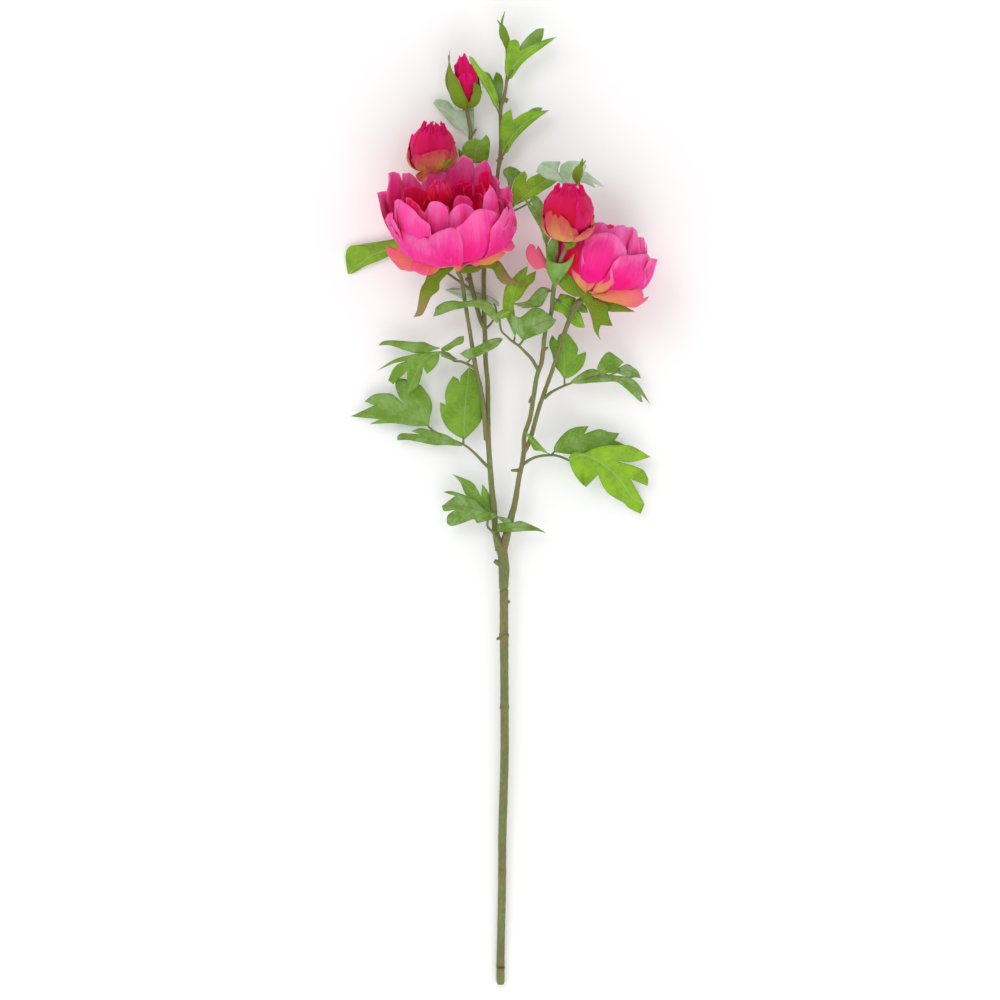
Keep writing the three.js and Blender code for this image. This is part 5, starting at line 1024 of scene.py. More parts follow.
class Sheets:
    """Collects the closed sheets of one piece, and the values its materials read."""

    def __init__(self):
        self.points = []
        self.faces = []
        self.slots = []
        self.values = {"along": [], "across": [], "tone": []}

    def add(self, points, faces, slots, along, across, tone):
        """Adds one closed sheet, with a material for each face and values for each point."""
        first = len(self.points)
        self.points.extend(points)
        self.faces.extend([tuple(first + k for k in face) for face in faces])
        self.slots.extend(slots)
        self.values["along"].extend(along)
        self.values["across"].extend(across)
        self.values["tone"].extend([tone] * len(points))

    def mesh(self, name, materials):
        """The sheets as one mesh in metres, with faces outward on every sheet."""
        made = bpy.data.meshes.new(name)
        made.from_pydata([tuple(p * MM) for p in self.points], [], self.faces)
        for material in materials:
            made.materials.append(material)
        made.polygons.foreach_set("material_index", self.slots)
        for value_name, numbers in self.values.items():
            attribute = made.attributes.new(value_name, "FLOAT", "POINT")
            attribute.data.foreach_set("value", numbers)
        body = bmesh.new()
        body.from_mesh(made)
        bmesh.ops.recalc_face_normals(body, faces=body.faces)
        body.to_mesh(made)
        body.free()
        made.polygons.foreach_set("use_smooth", [True] * len(made.polygons))
        made.update()
        return made


def link(name, mesh):
    """Puts a mesh in the scene as an object of that name."""
    piece = bpy.data.objects.new(name, mesh)
    bpy.context.scene.collection.objects.link(piece)
    return piece


def dress(piece, nodes):
    """Makes a piece stand for CAD nodes and ride on the spray."""
    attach(piece, "root")
    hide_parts(*nodes)


def slab(points, normals, faces, rim, thickness):
    """A sheet of cloth given its thickness: upper side, underside and rim."""
    count = len(points)
    half = np.broadcast_to(np.asarray(thickness) / 2, (count,))[:, None]
    both = np.vstack([points + normals * half, points - normals * half])
    closed = [tuple(face) for face in faces]
    closed += [tuple(count + k for k in reversed(face)) for face in faces]
    sides = []
    for here, there in zip(rim, rim[1:] + rim[:1]):
        sides.append((here, count + here, count + there, there))
    return both, closed + sides, len(faces)


def sheet_normals(points, faces):
    """Unit normals at the points of an open sheet."""
    normals = np.zeros_like(points)
    corners = np.array([face[:3] for face in faces])
    a, b, c = (points[corners[:, k]] for k in range(3))
    face_normals = np.cross(b - a, c - a)
    for k in range(3):
        np.add.at(normals, corners[:, k], face_normals)
    if len(faces[0]) == 4:
        last = np.array([face[3] for face in faces])
        np.add.at(normals, last, face_normals)
    return normals / np.maximum(np.linalg.norm(normals, axis=1), 1e-9)[:, None]


# ---------------------------------------------------------------- leaves


def smooth_route(points, step, closed=False, sharp=75, always_sharp=()):
    """Points along a smooth curve through the given ones; tight corners stay sharp."""
    points = np.asarray(points, float)
    count = len(points)
    corners = []
    for i in range(count):
        before = points[i] - points[i - 1]
        after = points[(i + 1) % count] - points[i]
        cosine = before.dot(after) / (np.linalg.norm(before) * np.linalg.norm(after) + 1e-9)
        corners.append(i in always_sharp or cosine < math.cos(math.radians(sharp)))
    result = []
    last = count if closed else count - 1
    for i in range(last):
        a, b = points[i], points[(i + 1) % count]
        outer = 0.5 * (b - points[i - 1])
        inner = 0.5 * (points[(i + 2) % count] - a)
        if corners[i] or (not closed and i == 0):
            outer = (b - a) * 0.8
        if corners[(i + 1) % count] or (not closed and i == last - 1):
            inner = (b - a) * 0.8
        size = np.linalg.norm(b - a)
        for tangent in (outer, inner):
            tangent *= min(1, size / (np.linalg.norm(tangent) + 1e-9))
        pieces = max(1, round(size / step))
        for k in range(pieces):
            t = k / pieces
            result.append((2 * t**3 - 3 * t**2 + 1) * a + (t**3 - 2 * t**2 + t) * outer
                          + (3 * t**2 - 2 * t**3) * b + (t**3 - t**2) * inner)
    if not closed:
        result.append(points[-1])
    return np.array(result)


def along_rib(points, rib):
    """How far along a rib each point lies, and how far to its left or right."""
    best = np.full(len(points), np.inf)
    along = np.zeros(len(points))
    across = np.zeros(len(points))
    walked = 0.0
    for a, b in zip(rib[:-1], rib[1:]):
        step = b - a
        size = np.linalg.norm(step)
        share = np.clip((points - a).dot(step) / size**2, 0, 1)
        foot = a + share[:, None] * step
        away = np.linalg.norm(points - foot, axis=1)
        side = np.sign(step[0] * (points[:, 1] - a[1]) - step[1] * (points[:, 0] - a[0]))
        nearer = away < best
        best = np.where(nearer, away, best)
        along = np.where(nearer, walked + share * size, along)
        across = np.where(nearer, side * away, across)
        walked += size
    return along, across, walked


def inside(points, outline):
    """Which points lie inside an outline."""
    result = np.zeros(len(points), bool)
    x, y = points[:, 0], points[:, 1]
    for (ax, ay), (bx, by) in zip(outline, np.roll(outline, -1, axis=0)):
        crosses = (ay > y) != (by > y)
        with np.errstate(divide="ignore", invalid="ignore"):
            result ^= crosses & (x < (bx - ax) * (y - ay) / (by - ay) + ax)
    return result


def from_edge(points, outline):
    """How far each point lies from an outline."""
    best = np.full(len(points), np.inf)
    for a, b in zip(outline, np.roll(outline, -1, axis=0)):
        step = b - a
        share = np.clip((points - a).dot(step) / max(step.dot(step), 1e-9), 0, 1)
        best = np.minimum(best, np.linalg.norm(points - a - share[:, None] * step, axis=1))
    return best


def signed_area(outline):
    """The area inside an outline, above zero where it runs anticlockwise."""
    x, y = outline[:, 0], outline[:, 1]
    return 0.5 * np.sum(x * np.roll(y, -1) - y * np.roll(x, -1))


def add_leaflet(sheets, leaflet, tone, sizes, seed, slots=(0, 1), silk=False):
    """Adds one leaflet: a veined, crumpled blade of cloth; or a flat petal of silk."""
    grid = sizes.leaf_grid / MM
    spacing = sizes.vein_spacing / MM
    thickness = sizes.leaf_thickness / MM
    edge = leaflet["edge"]
    outline = smooth_route(edge, EDGE_STEP, closed=True, always_sharp=(0, leaflet["tip"]))
    if signed_area(outline) < 0:
        outline = outline[::-1]
    rib = smooth_route([edge[0], *leaflet["rib"], edge[leaflet["tip"]]], RIB_STEP)
    low, high = outline.min(axis=0), outline.max(axis=0)
    rows = np.arange(low[1], high[1], grid * ROW_SHARE)
    spots = [
        (x + (grid / 2 if k % 2 else 0), y)
        for k, y in enumerate(rows) for x in np.arange(low[0], high[0] + grid, grid)
    ]
    spots = np.array(spots)
    spots = spots[inside(spots, outline)]
    if len(spots):
        spots = spots[from_edge(spots, outline) > 0.45 * grid]
    ribs = rib[1:-1]
    ribs = ribs[inside(ribs, outline) & (from_edge(ribs, outline) > 0.8)]
    if len(spots) and len(ribs):
        gaps = np.linalg.norm(spots[:, None] - ribs[None], axis=2).min(axis=1)
        spots = spots[gaps > 0.5 * grid]
    flat = [Vector(p) for p in np.vstack([outline, spots.reshape(-1, 2), ribs])]
    rim_edges = [(k, (k + 1) % len(outline)) for k in range(len(outline))]
    made = delaunay_2d_cdt(flat, rim_edges, [], 1, 1e-5)
    points = np.array([tuple(p) for p in made[0]])
    faces = [tuple(face) for face in made[2]]
    along, across, total = along_rib(points, rib)
    share = along / total
    z_base, z_tip, arch, fold, roll = leaflet["z"]
    height = z_base + (z_tip - z_base) * share + arch * 4 * share * (1 - share)
    height += fold * np.abs(across) + roll * across
    margin = from_edge(points, outline)
    body = np.clip(margin / 4, 0, 1) * np.clip(np.abs(across) / 3, 0, 1)
    vein = np.abs(np.sin(np.pi * (along - VEIN_SLANT * np.abs(across)) / spacing))
    veined = 0.0 if silk else 1.0
    height += VEIN_RISE * veined * (np.sqrt(vein) - 0.6) * body
    height -= RIB_DIP * veined * np.exp(-((across / 1.1) ** 2)) * np.clip(margin / 2, 0, 1)
    away = np.clip(np.abs(across) / 16, 0, 1) ** 1.5
    ruffle = SILK_RUFFLE if silk else LEAF_RUFFLE
    for k, (x, y) in enumerate(points):
        broad = noise.noise(Vector((x / 15, y / 15, seed * 3.7)))
        fine = noise.noise(Vector((x / 5, y / 5, seed * 1.3 + 9)))
        height[k] += (0.6 + ruffle * away[k]) * broad + FINE_RUFFLE * fine
    height = np.maximum(height, LEAF_LIFT + thickness / 2)
    solid = np.column_stack([points, height])
    normals = sheet_normals(solid, faces)
    if normals[:, 2].mean() < 0:
        faces = [tuple(reversed(face)) for face in faces]
        normals = -normals
    counts = {}
    for face in faces:
        for here, there in zip(face, face[1:] + face[:1]):
            counts[(here, there)] = counts.get((here, there), 0) + 1
    following = {a: b for (a, b) in counts if (b, a) not in counts}
    start = next(iter(following))
    rim = [start]
    while following[rim[-1]] != start:
        rim.append(following[rim[-1]])
        if len(rim) > len(following):
            raise ValueError(f"The outline that starts at {edge[0]} crosses itself")
    both, closed, upper = slab(solid, normals, faces, rim, thickness)
    materials = [slots[0]] * upper + [slots[1]] * upper + [slots[0]] * len(rim)
    if silk:
        along, across = share, across / 20
    sheets.add(both, closed, materials, [*along, *along], [*across, *across], tone)


# ---------------------------------------------------------------- petals


def bezier(profile, t):
    """Radius and height at a share t of a petal's profile, a curve of four points."""
    s = 1 - t
    weights = [s**3, 3 * s * s * t, 3 * s * t * t, t**3]
    rho = sum(w * p[0] for w, p in zip(weights, profile))
    height = sum(w * p[1] for w, p in zip(weights, profile))
    return rho, height


def finish_petal(sheets, flower, petal, points, along, across, thickness):
    """Turns a grid of points into a petal of cloth, and notes what its colouring follows,
    including the painted shade at its foot and on its inner side.
    """
    rows, columns = along.shape[0] - 1, along.shape[1] - 1
    points[:, 2] = np.maximum(points[:, 2], PETAL_LIFT + thickness)
    width = columns + 1
    faces = []
    for i in range(rows):
        for j in range(columns):
            here = i * width + j
            faces.append((here, here + 1, here + width + 1, here + width))
    normals = sheet_normals(points, faces)
    rim = list(range(width))
    rim += [i * width + columns for i in range(1, rows + 1)]
    rim += [rows * width + j for j in range(columns - 1, -1, -1)]
    rim += [i * width for i in range(rows - 1, 0, -1)]
    taper = thickness * (1 - 0.55 * np.clip(along.reshape(-1), 0, 1) ** 8)
    both, closed, upper = slab(points, normals, faces, rim, taper)
    run = along.reshape(-1)
    side = across.reshape(-1)
    middle = points - flower["base"]
    middle -= middle.dot(flower["axis"])[:, None] * flower["axis"]
    front_out = (normals * middle).sum() > 0
    slot = petal["dye"]
    # The side that faces into the flower takes the Inside silk; for the heart and bud silks that
    # is a darker copy, painted shade on the cupped side.
    slots = [slot if front_out else slot + 1] * upper
    slots += [slot + 1 if front_out else slot] * upper + [slot] * len(rim)
    sheets.add(both, closed, slots, [*run, *run], [*side, *side], petal["tone"])


def lip_on_shell(flower, petal):
    """Where a petal's lip lies on its shell: shares of the profile, and angles."""
    if petal["outline"] is None:
        across = np.linspace(-1, 1, 13)
        shares = 1 - 0.16 * np.abs(across) ** 2.4 - 0.04 * np.exp(-((across / 0.25) ** 2))
        return shares, petal["angle"] + petal["spread"] * across
    shares = np.linspace(0.2, 1.12, 140)
    turns = np.radians(np.arange(-180, 180, 1.5))
    turns = turns[np.cos(turns) * petal["facing"] > -0.15]
    found = []
    for spot in petal["outline"]:
        share_grid, turn_grid = shares, turns
        for _ in range(2):
            share, turn = np.meshgrid(share_grid, turn_grid, indexing="ij")
            rho, height = bezier(petal["profile"], share)
            seen = in_flower(flower, height, rho, turn)[..., :2]
            miss = ((seen - spot) ** 2).sum(axis=-1) + 0.4 * (1.12 - share)
            best = np.argmin(miss)
            share_grid = share.flat[best] + np.linspace(-0.007, 0.007, 15)
            turn_grid = turn.flat[best] + np.linspace(-0.027, 0.027, 15)
        found.append((share.flat[best], turn.flat[best]))
    shares, turns = np.array(found).T
    return shares, np.unwrap(turns)


def add_petal(sheets, flower, petal, thickness):
    """Adds one silk petal of a cup: a bent sheet with a lobed lip and fine crumples."""
    shares, turns = lip_on_shell(flower, petal)
    flat = np.column_stack([shares * LIP_LENGTH, turns * LIP_WIDTH])
    lip = smooth_route(flat, LIP_STEP, sharp=62)
    walked = np.concatenate([[0], np.cumsum(np.linalg.norm(np.diff(lip, axis=0), axis=1))])
    even = np.linspace(0, walked[-1], PETAL_COLUMNS + 1)
    top = np.interp(even, walked, lip[:, 0]) / LIP_LENGTH
    turn = np.interp(even, walked, lip[:, 1]) / LIP_WIDTH
    s, u = np.meshgrid(np.linspace(0, 1, PETAL_ROWS + 1),
                       np.linspace(-1, 1, PETAL_COLUMNS + 1), indexing="ij")
    phase, crumple = petal["phase"], petal["crumple"]
    share = s * top
    rho, height = bezier(petal["profile"], share)
    rho_next, height_next = bezier(petal["profile"], share + 0.01)
    slope = np.hypot(rho_next - rho, height_next - height)
    out = ((height_next - height) / slope, -(rho_next - rho) / slope)
    wave = petal["puff"] * (1 - u**2) * np.sin(np.pi * np.minimum(s, 0.9))
    wave += crumple * s**3 * (1.3 * np.sin(2.3 * np.pi * u + 1.7 * phase + 1.2 * s)
                              + 0.75 * np.sin(5.1 * np.pi * u - 0.6 * phase - 3 * s))
    for depth, middle, slant in petal["creases"]:
        line = (u - middle - slant * (s - 0.6)) / 0.06
        wave -= depth * np.exp(-np.abs(line)) * np.clip(s / 0.5, 0, 1)
    wave += petal["curl"] * np.clip((s - 0.86) / 0.14, 0, 1) ** 2
    middle = 0.5 * (turns.min() + turns.max())
    spread = 0.65 + 0.35 * np.sin((np.pi / 2) * np.minimum(s / 0.6, 1))
    points = in_flower(flower, height + out[1] * wave, rho + out[0] * wave,
                       middle + (turn - middle) * spread)
    finish_petal(sheets, flower, petal, points.reshape(-1, 3), s, u, thickness)


def add_hub(sheets, flower, hub):
    """Adds the small disc that a ring of petals grows from."""
    sides = 20
    half = HUB_DEPTH / 2
    rings = [(-half, 0.8), (HUB_BEVEL - half, 1), (half - HUB_BEVEL, 1), (half, 0.8)]
    radius, foot = hub
    points = []
    for height, share in rings:
        angles = np.linspace(0, 2 * np.pi, sides, endpoint=False)
        points.append(in_flower(flower, foot + height, radius * share, angles))
    points.append(in_flower(flower, foot - half, 0, 0)[None])
    points.append(in_flower(flower, foot + half, 0, 0)[None])
    points = np.vstack(points)
    faces = []
    for i in range(len(rings) - 1):
        for j in range(sides):
            here, there = i * sides + j, i * sides + (j + 1) % sides
            faces.append((here, there, there + sides, here + sides))
    bottom, top = len(points) - 2, len(points) - 1
    last = (len(rings) - 1) * sides
    for j in range(sides):
        after = (j + 1) % sides
        faces.append((bottom, after, j))
        faces.append((top, last + j, last + after))
    count = len(points)
    sheets.add(points, faces, [0] * len(faces), [0.02] * count, [0.0] * count, 0.4)


# ---------------------------------------------------------------- nodes and tubes


def add_node(tree, kind, inputs=None, **settings):
    """Places a node, and sets or links its inputs."""
    made = tree.nodes.new(kind)
    for name, value in settings.items():
        setattr(made, name, value)
    for key, value in (inputs or {}).items():
        socket = made.inputs[key]
        if isinstance(value, bpy.types.NodeSocket):
            tree.links.new(value, socket)
        else:
            socket.default_value = value
    return made


def moulded_tubes():
    """Geometry Nodes tree: knobbly tubes that follow routes with a radius at each point."""
    tree = bpy.data.node_groups.new("Moulded Tubes", "GeometryNodeTree")
    sockets = [
        ("Geometry", "NodeSocketGeometry", None), ("Step", "NodeSocketFloat", 0.0016),
        ("Sides", "NodeSocketInt", 16), ("Knob Height", "NodeSocketFloat", 0.0008),
        ("Knob Scale", "NodeSocketFloat", KNOB_SCALE), ("Seed", "NodeSocketFloat", 1.0),
        ("Material", "NodeSocketMaterial", None),
    ]
    for name, kind, value in sockets:
        made = tree.interface.new_socket(name, in_out="INPUT", socket_type=kind)
        if value is not None:
            made.default_value = value
    tree.interface.new_socket("Geometry", in_out="OUTPUT", socket_type="NodeSocketGeometry")
    given = add_node(tree, "NodeGroupInput").outputs
    curve = add_node(tree, "GeometryNodeMeshToCurve", {"Mesh": given["Geometry"]})
    smooth = add_node(tree, "GeometryNodeCurveSplineType",
                      {"Curve": curve.outputs["Curve"]}, spline_type="CATMULL_ROM")
    even = add_node(tree, "GeometryNodeResampleCurve",
                    {"Curve": smooth.outputs["Curve"], "Length": given["Step"]},
                    mode="LENGTH")
    ring = add_node(tree, "GeometryNodeCurvePrimitiveCircle",
                    {"Resolution": given["Sides"], "Radius": 1.0})
    thick = add_node(tree, "GeometryNodeInputNamedAttribute", {"Name": "thick"},
                     data_type="FLOAT")
    tube = add_node(tree, "GeometryNodeCurveToMesh", {
        "Curve": even.outputs["Curve"], "Profile Curve": ring.outputs["Curve"],
        "Scale": thick.outputs["Attribute"], "Fill Caps": True,
    })
    place = add_node(tree, "GeometryNodeInputPosition")
    knobs = add_node(tree, "ShaderNodeTexNoise", {
        "Vector": place.outputs["Position"], "Scale": given["Knob Scale"],
        "W": given["Seed"], "Detail": 2.0,
    }, noise_dimensions="4D")
    centred = add_node(tree, "ShaderNodeMath", {0: knobs.outputs["Fac"], 1: 0.5},
                       operation="SUBTRACT")
    rise = add_node(tree, "ShaderNodeMath", {0: centred.outputs[0], 1: given["Knob Height"]},
                    operation="MULTIPLY")
    outward = add_node(tree, "GeometryNodeInputNormal")
    shift = add_node(tree, "ShaderNodeVectorMath",
                     {0: outward.outputs["Normal"], "Scale": rise.outputs[0]},
                     operation="SCALE")
    moved = add_node(tree, "GeometryNodeSetPosition",
                     {"Geometry": tube.outputs["Mesh"], "Offset": shift.outputs[0]})
    shaded = add_node(tree, "GeometryNodeSetShadeSmooth", {"Geometry": moved.outputs[0]})
    real = add_node(tree, "GeometryNodeRealizeInstances",
                    {"Geometry": shaded.outputs["Geometry"]})
    coated = add_node(tree, "GeometryNodeSetMaterial",
                      {"Geometry": real.outputs[0], "Material": given["Material"]})
    add_node(tree, "NodeGroupOutput", {"Geometry": coated.outputs[0]})
    return tree


def tube_mesh(name, routes, material, sides, step, knobs, brown=0.0):
    """Runs the tube tree on routes [x, y, z, radius]; brown is one share or one each."""
    points, edges, thick, shade = [], [], [], []
    shares = brown if isinstance(brown, list) else [brown] * len(routes)
    for route, share in zip(routes, shares):
        first = len(points)
        for x, y, z, radius in route:
            points.append((x * MM, y * MM, max(z, radius * 1.03 + STEM_LIFT) * MM))
            thick.append(radius * MM)
            shade.append(share)
        edges += [(first + k, first + k + 1) for k in range(len(route) - 1)]
    wire = bpy.data.meshes.new(name)
    wire.from_pydata(points, edges, [])
    for value_name, numbers in (("thick", thick), ("brown", shade)):
        wire.attributes.new(value_name, "FLOAT", "POINT").data.foreach_set("value", numbers)
    source = link(name, wire)
    tree = bpy.data.node_groups.get("Moulded Tubes") or moulded_tubes()
    modifier = source.modifiers.new("Tubes", "NODES")
    modifier.node_group = tree
    values = {"Step": step, "Sides": sides, "Knob Height": knobs, "Knob Scale": KNOB_SCALE,
              "Seed": 1.0, "Material": material}
    for item in tree.interface.items_tree:
        if item.in_out == "INPUT" and item.name in values:
            modifier[item.identifier] = values[item.name]
    graph = bpy.context.evaluated_depsgraph_get()
    mesh = bpy.data.meshes.new_from_object(source.evaluated_get(graph), depsgraph=graph)
    source.modifiers.clear()
    bpy.data.objects.remove(source)
    bpy.data.meshes.remove(wire)
    mesh.name = name
    return mesh


def joined_mesh(name, parts):
    """One mesh of several, with their materials and point values."""
    pieces = [link(f"{name}_{k}", mesh) for k, mesh in enumerate(parts)]
    with bpy.context.temp_override(active_object=pieces[0], object=pieces[0],
                                   selected_objects=pieces,
                                   selected_editable_objects=pieces):
        bpy.ops.object.join()
    mesh = pieces[0].data
    bpy.data.objects.remove(pieces[0])
    mesh.name = name
    return mesh


# ---------------------------------------------------------------- shader groups


def new_group(name, inputs, outputs):
    """An empty shader node group with named number inputs and outputs."""
    tree = bpy.data.node_groups.new(name, "ShaderNodeTree")
    for socket_name, kind, value in inputs:
        made = tree.interface.new_socket(socket_name, in_out="INPUT", socket_type=kind)
        if value is not None:
            made.default_value = value
    for socket_name in outputs:
        tree.interface.new_socket(socket_name, in_out="OUTPUT", socket_type="NodeSocketFloat")
    return tree, add_node(tree, "NodeGroupInput").outputs


def maths(tree, operation, first, second=0.0, third=0.0):
    """The result of one calculation on numbers or sockets."""
    return add_node(tree, "ShaderNodeMath", {0: first, 1: second, 2: third},
                    operation=operation).outputs[0]


def ramp_up(tree, value, low, high, to_low=0.0, to_high=1.0):
    """A smooth rise from to_low to to_high while the value goes from low to high."""
    return add_node(tree, "ShaderNodeMapRange", {
        "Value": value, "From Min": low, "From Max": high, "To Min": to_low,
        "To Max": to_high,
    }, interpolation_type="SMOOTHSTEP").outputs["Result"]


def mottle_group(name):
    """Soft patches of light and dark over a moulded or dyed surface."""
    tree, given = new_group(name, [
        ("Vector", "NodeSocketVector", None), ("Scale", "NodeSocketFloat", 60.0),
        ("Low", "NodeSocketFloat", 0.35), ("High", "NodeSocketFloat", 0.65),
    ], ["Patches", "Specks"])
    broad = add_node(tree, "ShaderNodeTexNoise", {
        "Vector": given["Vector"], "Scale": given["Scale"], "Detail": 4.0,
        "Roughness": 0.6,
    })
    patches = ramp_up(tree, broad.outputs["Fac"], given["Low"], given["High"])
    finer = maths(tree, "MULTIPLY", given["Scale"], 9.0)
    fine = add_node(tree, "ShaderNodeTexNoise", {
        "Vector": given["Vector"], "Scale": finer, "Detail": 2.0,
    })
    specks = ramp_up(tree, fine.outputs["Fac"], 0.4, 0.7)
    add_node(tree, "NodeGroupOutput", {"Patches": patches, "Specks": specks})
    return tree


def cloth_grain_group(name):
    """The fine crossed threads of dyed cloth, as a height."""
    tree, given = new_group(name, [
        ("Vector", "NodeSocketVector", None), ("Threads", "NodeSocketFloat", 1400.0),
    ], ["Weave"])
    heights = []
    for direction in ("X", "Y"):
        wave = add_node(tree, "ShaderNodeTexWave", {
            "Vector": given["Vector"], "Scale": given["Threads"], "Distortion": 0.8,
            "Detail": 1.0,
        }, bands_direction=direction)
        heights.append(wave.outputs["Fac"])
    weave = maths(tree, "MULTIPLY", heights[0], heights[1])
    add_node(tree, "NodeGroupOutput", {"Weave": weave})
    return tree


def leaf_veins_group(name):
    """Masks of a leaf's middle rib and side veins, from distances along and across it."""
    tree, given = new_group(name, [
        ("Along", "NodeSocketFloat", None), ("Across", "NodeSocketFloat", None),
        ("Spacing", "NodeSocketFloat", 7.0), ("Wander", "NodeSocketFloat", 0.0),
    ], ["Rib", "Veins", "Net"])
    away = maths(tree, "ABSOLUTE", given["Across"])
    rib = ramp_up(tree, away, 0.35, 1.0, 1.0, 0.0)
    slanted = maths(tree, "MULTIPLY_ADD", away, -VEIN_SLANT, given["Along"])
    slanted = maths(tree, "ADD", slanted, given["Wander"])
    phase = maths(tree, "DIVIDE", slanted, given["Spacing"])
    to_vein = maths(tree, "PINGPONG", phase, 0.5)
    veins = ramp_up(tree, to_vein, 0.02, 0.085, 1.0, 0.0)
    finer = maths(tree, "PINGPONG", maths(tree, "MULTIPLY", phase, 3.0), 0.5)
    net = ramp_up(tree, finer, 0.02, 0.2, 1.0, 0.0)
    add_node(tree, "NodeGroupOutput", {"Rib": rib, "Veins": veins, "Net": net})
    return tree


def silk_streaks_group(name):
    """Fine streaks that fan out from the foot of a petal to its lip."""
    tree, given = new_group(name, [
        ("Along", "NodeSocketFloat", None), ("Across", "NodeSocketFloat", None),
        ("Tone", "NodeSocketFloat", None),
    ], ["Streaks", "Clouds"])
    apart = maths(tree, "MULTIPLY", given["Tone"], 17.0)
    fan = add_node(tree, "ShaderNodeCombineXYZ", {
        0: maths(tree, "MULTIPLY", given["Across"], 17.0),
        1: maths(tree, "MULTIPLY", given["Along"], 1.3), 2: apart,
    })
    fine = add_node(tree, "ShaderNodeTexNoise", {
        "Vector": fan.outputs[0], "Scale": 1.6, "Detail": 5.0, "Roughness": 0.65,
    })
    streaks = ramp_up(tree, fine.outputs["Fac"], 0.3, 0.7)
    wide = add_node(tree, "ShaderNodeCombineXYZ", {
        0: maths(tree, "MULTIPLY", given["Across"], 1.7),
        1: maths(tree, "MULTIPLY", given["Along"], 1.8), 2: apart,
    })
    soft = add_node(tree, "ShaderNodeTexNoise", {
        "Vector": wide.outputs[0], "Scale": 1.5, "Detail": 2.0,
    })
    clouds = ramp_up(tree, soft.outputs["Fac"], 0.32, 0.68)
    add_node(tree, "NodeGroupOutput", {"Streaks": streaks, "Clouds": clouds})
    return tree


GROUP_MAKERS = {
    "Mottle": mottle_group, "Cloth Grain": cloth_grain_group, "Leaf Veins": leaf_veins_group,
    "Silk Streaks": silk_streaks_group,
}


# ---------------------------------------------------------------- materials


def start_material(name, roughness, **constants):
    """A material with a Principled shader, and the values that every piece carries."""
    material = bpy.data.materials.new(name)
    material.use_nodes = True
    tree = material.node_tree
    shader = tree.nodes["Principled BSDF"]
    shader.inputs["Roughness"].default_value = roughness
    for key, value in constants.items():
        shader.inputs[key.replace("_", " ")].default_value = value
    values = {}
    for name in ("along", "across", "tone"):
        values[name] = add_node(tree, "ShaderNodeAttribute", attribute_name=name).outputs["Fac"]
    values["place"] = add_node(tree, "ShaderNodeTexCoord").outputs["Object"]
    return material, tree, shader, values


def blend(tree, share, first, second):
    """A share of the second colour over the first."""
    return add_node(tree, "ShaderNodeMix", {"Factor": share, 6: first, 7: second},
                    data_type="RGBA").outputs[2]


def grouped(tree, name, **inputs):
    """The outputs of a shader group, made the first time that it is asked for."""
    group = bpy.data.node_groups.get(name) or GROUP_MAKERS[name](name)
    return add_node(tree, "ShaderNodeGroup", inputs, node_tree=group).outputs


def bumped(tree, shader, height, distance, strength=1.0):
    """Gives a shader its relief."""
    bump = add_node(tree, "ShaderNodeBump",
                    {"Height": height, "Distance": distance, "Strength": strength})
    tree.links.new(bump.outputs["Normal"], shader.inputs["Normal"])


def silk_material(name, foot, body, lip, fold):
    """Dyed silk: a deep foot, an even body, a lighter lip and soft dyed clouds. On the bloom
    petals and the darker inside copies, the deep foot is partly painted shade.
    """
    material, tree, shader, values = start_material(
        name, 0.6, Sheen_Weight=0.08, Sheen_Roughness=0.4, Specular_IOR_Level=0.15,
        Subsurface_Weight=0.3, Subsurface_Scale=0.004, Subsurface_Radius=(1.0, 0.35, 0.5))
    streaks = grouped(tree, "Silk Streaks", Along=values["along"],
                      Across=values["across"], Tone=values["tone"])
    grain = grouped(tree, "Cloth Grain", Vector=values["place"])
    uneven = maths(tree, "MULTIPLY_ADD", streaks["Streaks"], 0.06, values["along"])
    uneven = maths(tree, "MULTIPLY_ADD", streaks["Clouds"], 0.28, uneven)
    # Partly painted shade: on the bloom silk and the darker inside copies, the deeper foot
    # stands partly for shade down in the cup; the peach feet of the guard and foot silks are
    # their own colour.
    dyed = blend(tree, ramp_up(tree, uneven, 0.5, 1.05), foot, body)
    clouds = maths(tree, "MULTIPLY", streaks["Clouds"], values["tone"])
    dyed = blend(tree, maths(tree, "MULTIPLY", clouds, 0.5), dyed, fold)
    high = ramp_up(tree, uneven, 0.9, 1.3)
    pale = maths(tree, "MULTIPLY", high, maths(tree, "MULTIPLY_ADD", values["tone"], 0.25, 0.75))
    dyed = blend(tree, pale, dyed, lip)
    lines = ramp_up(tree, streaks["Streaks"], 0.55, 0.1, 0.0, 0.22)
    dyed = blend(tree, lines, dyed, fold)
    tree.links.new(dyed, shader.inputs["Base Color"])
    relief = maths(tree, "MULTIPLY_ADD", grain["Weave"], 0.1, streaks["Streaks"])
    relief = maths(tree, "MULTIPLY_ADD", streaks["Clouds"], 4.0, relief)
    bumped(tree, shader, relief, 0.0005, 0.6)
    return material


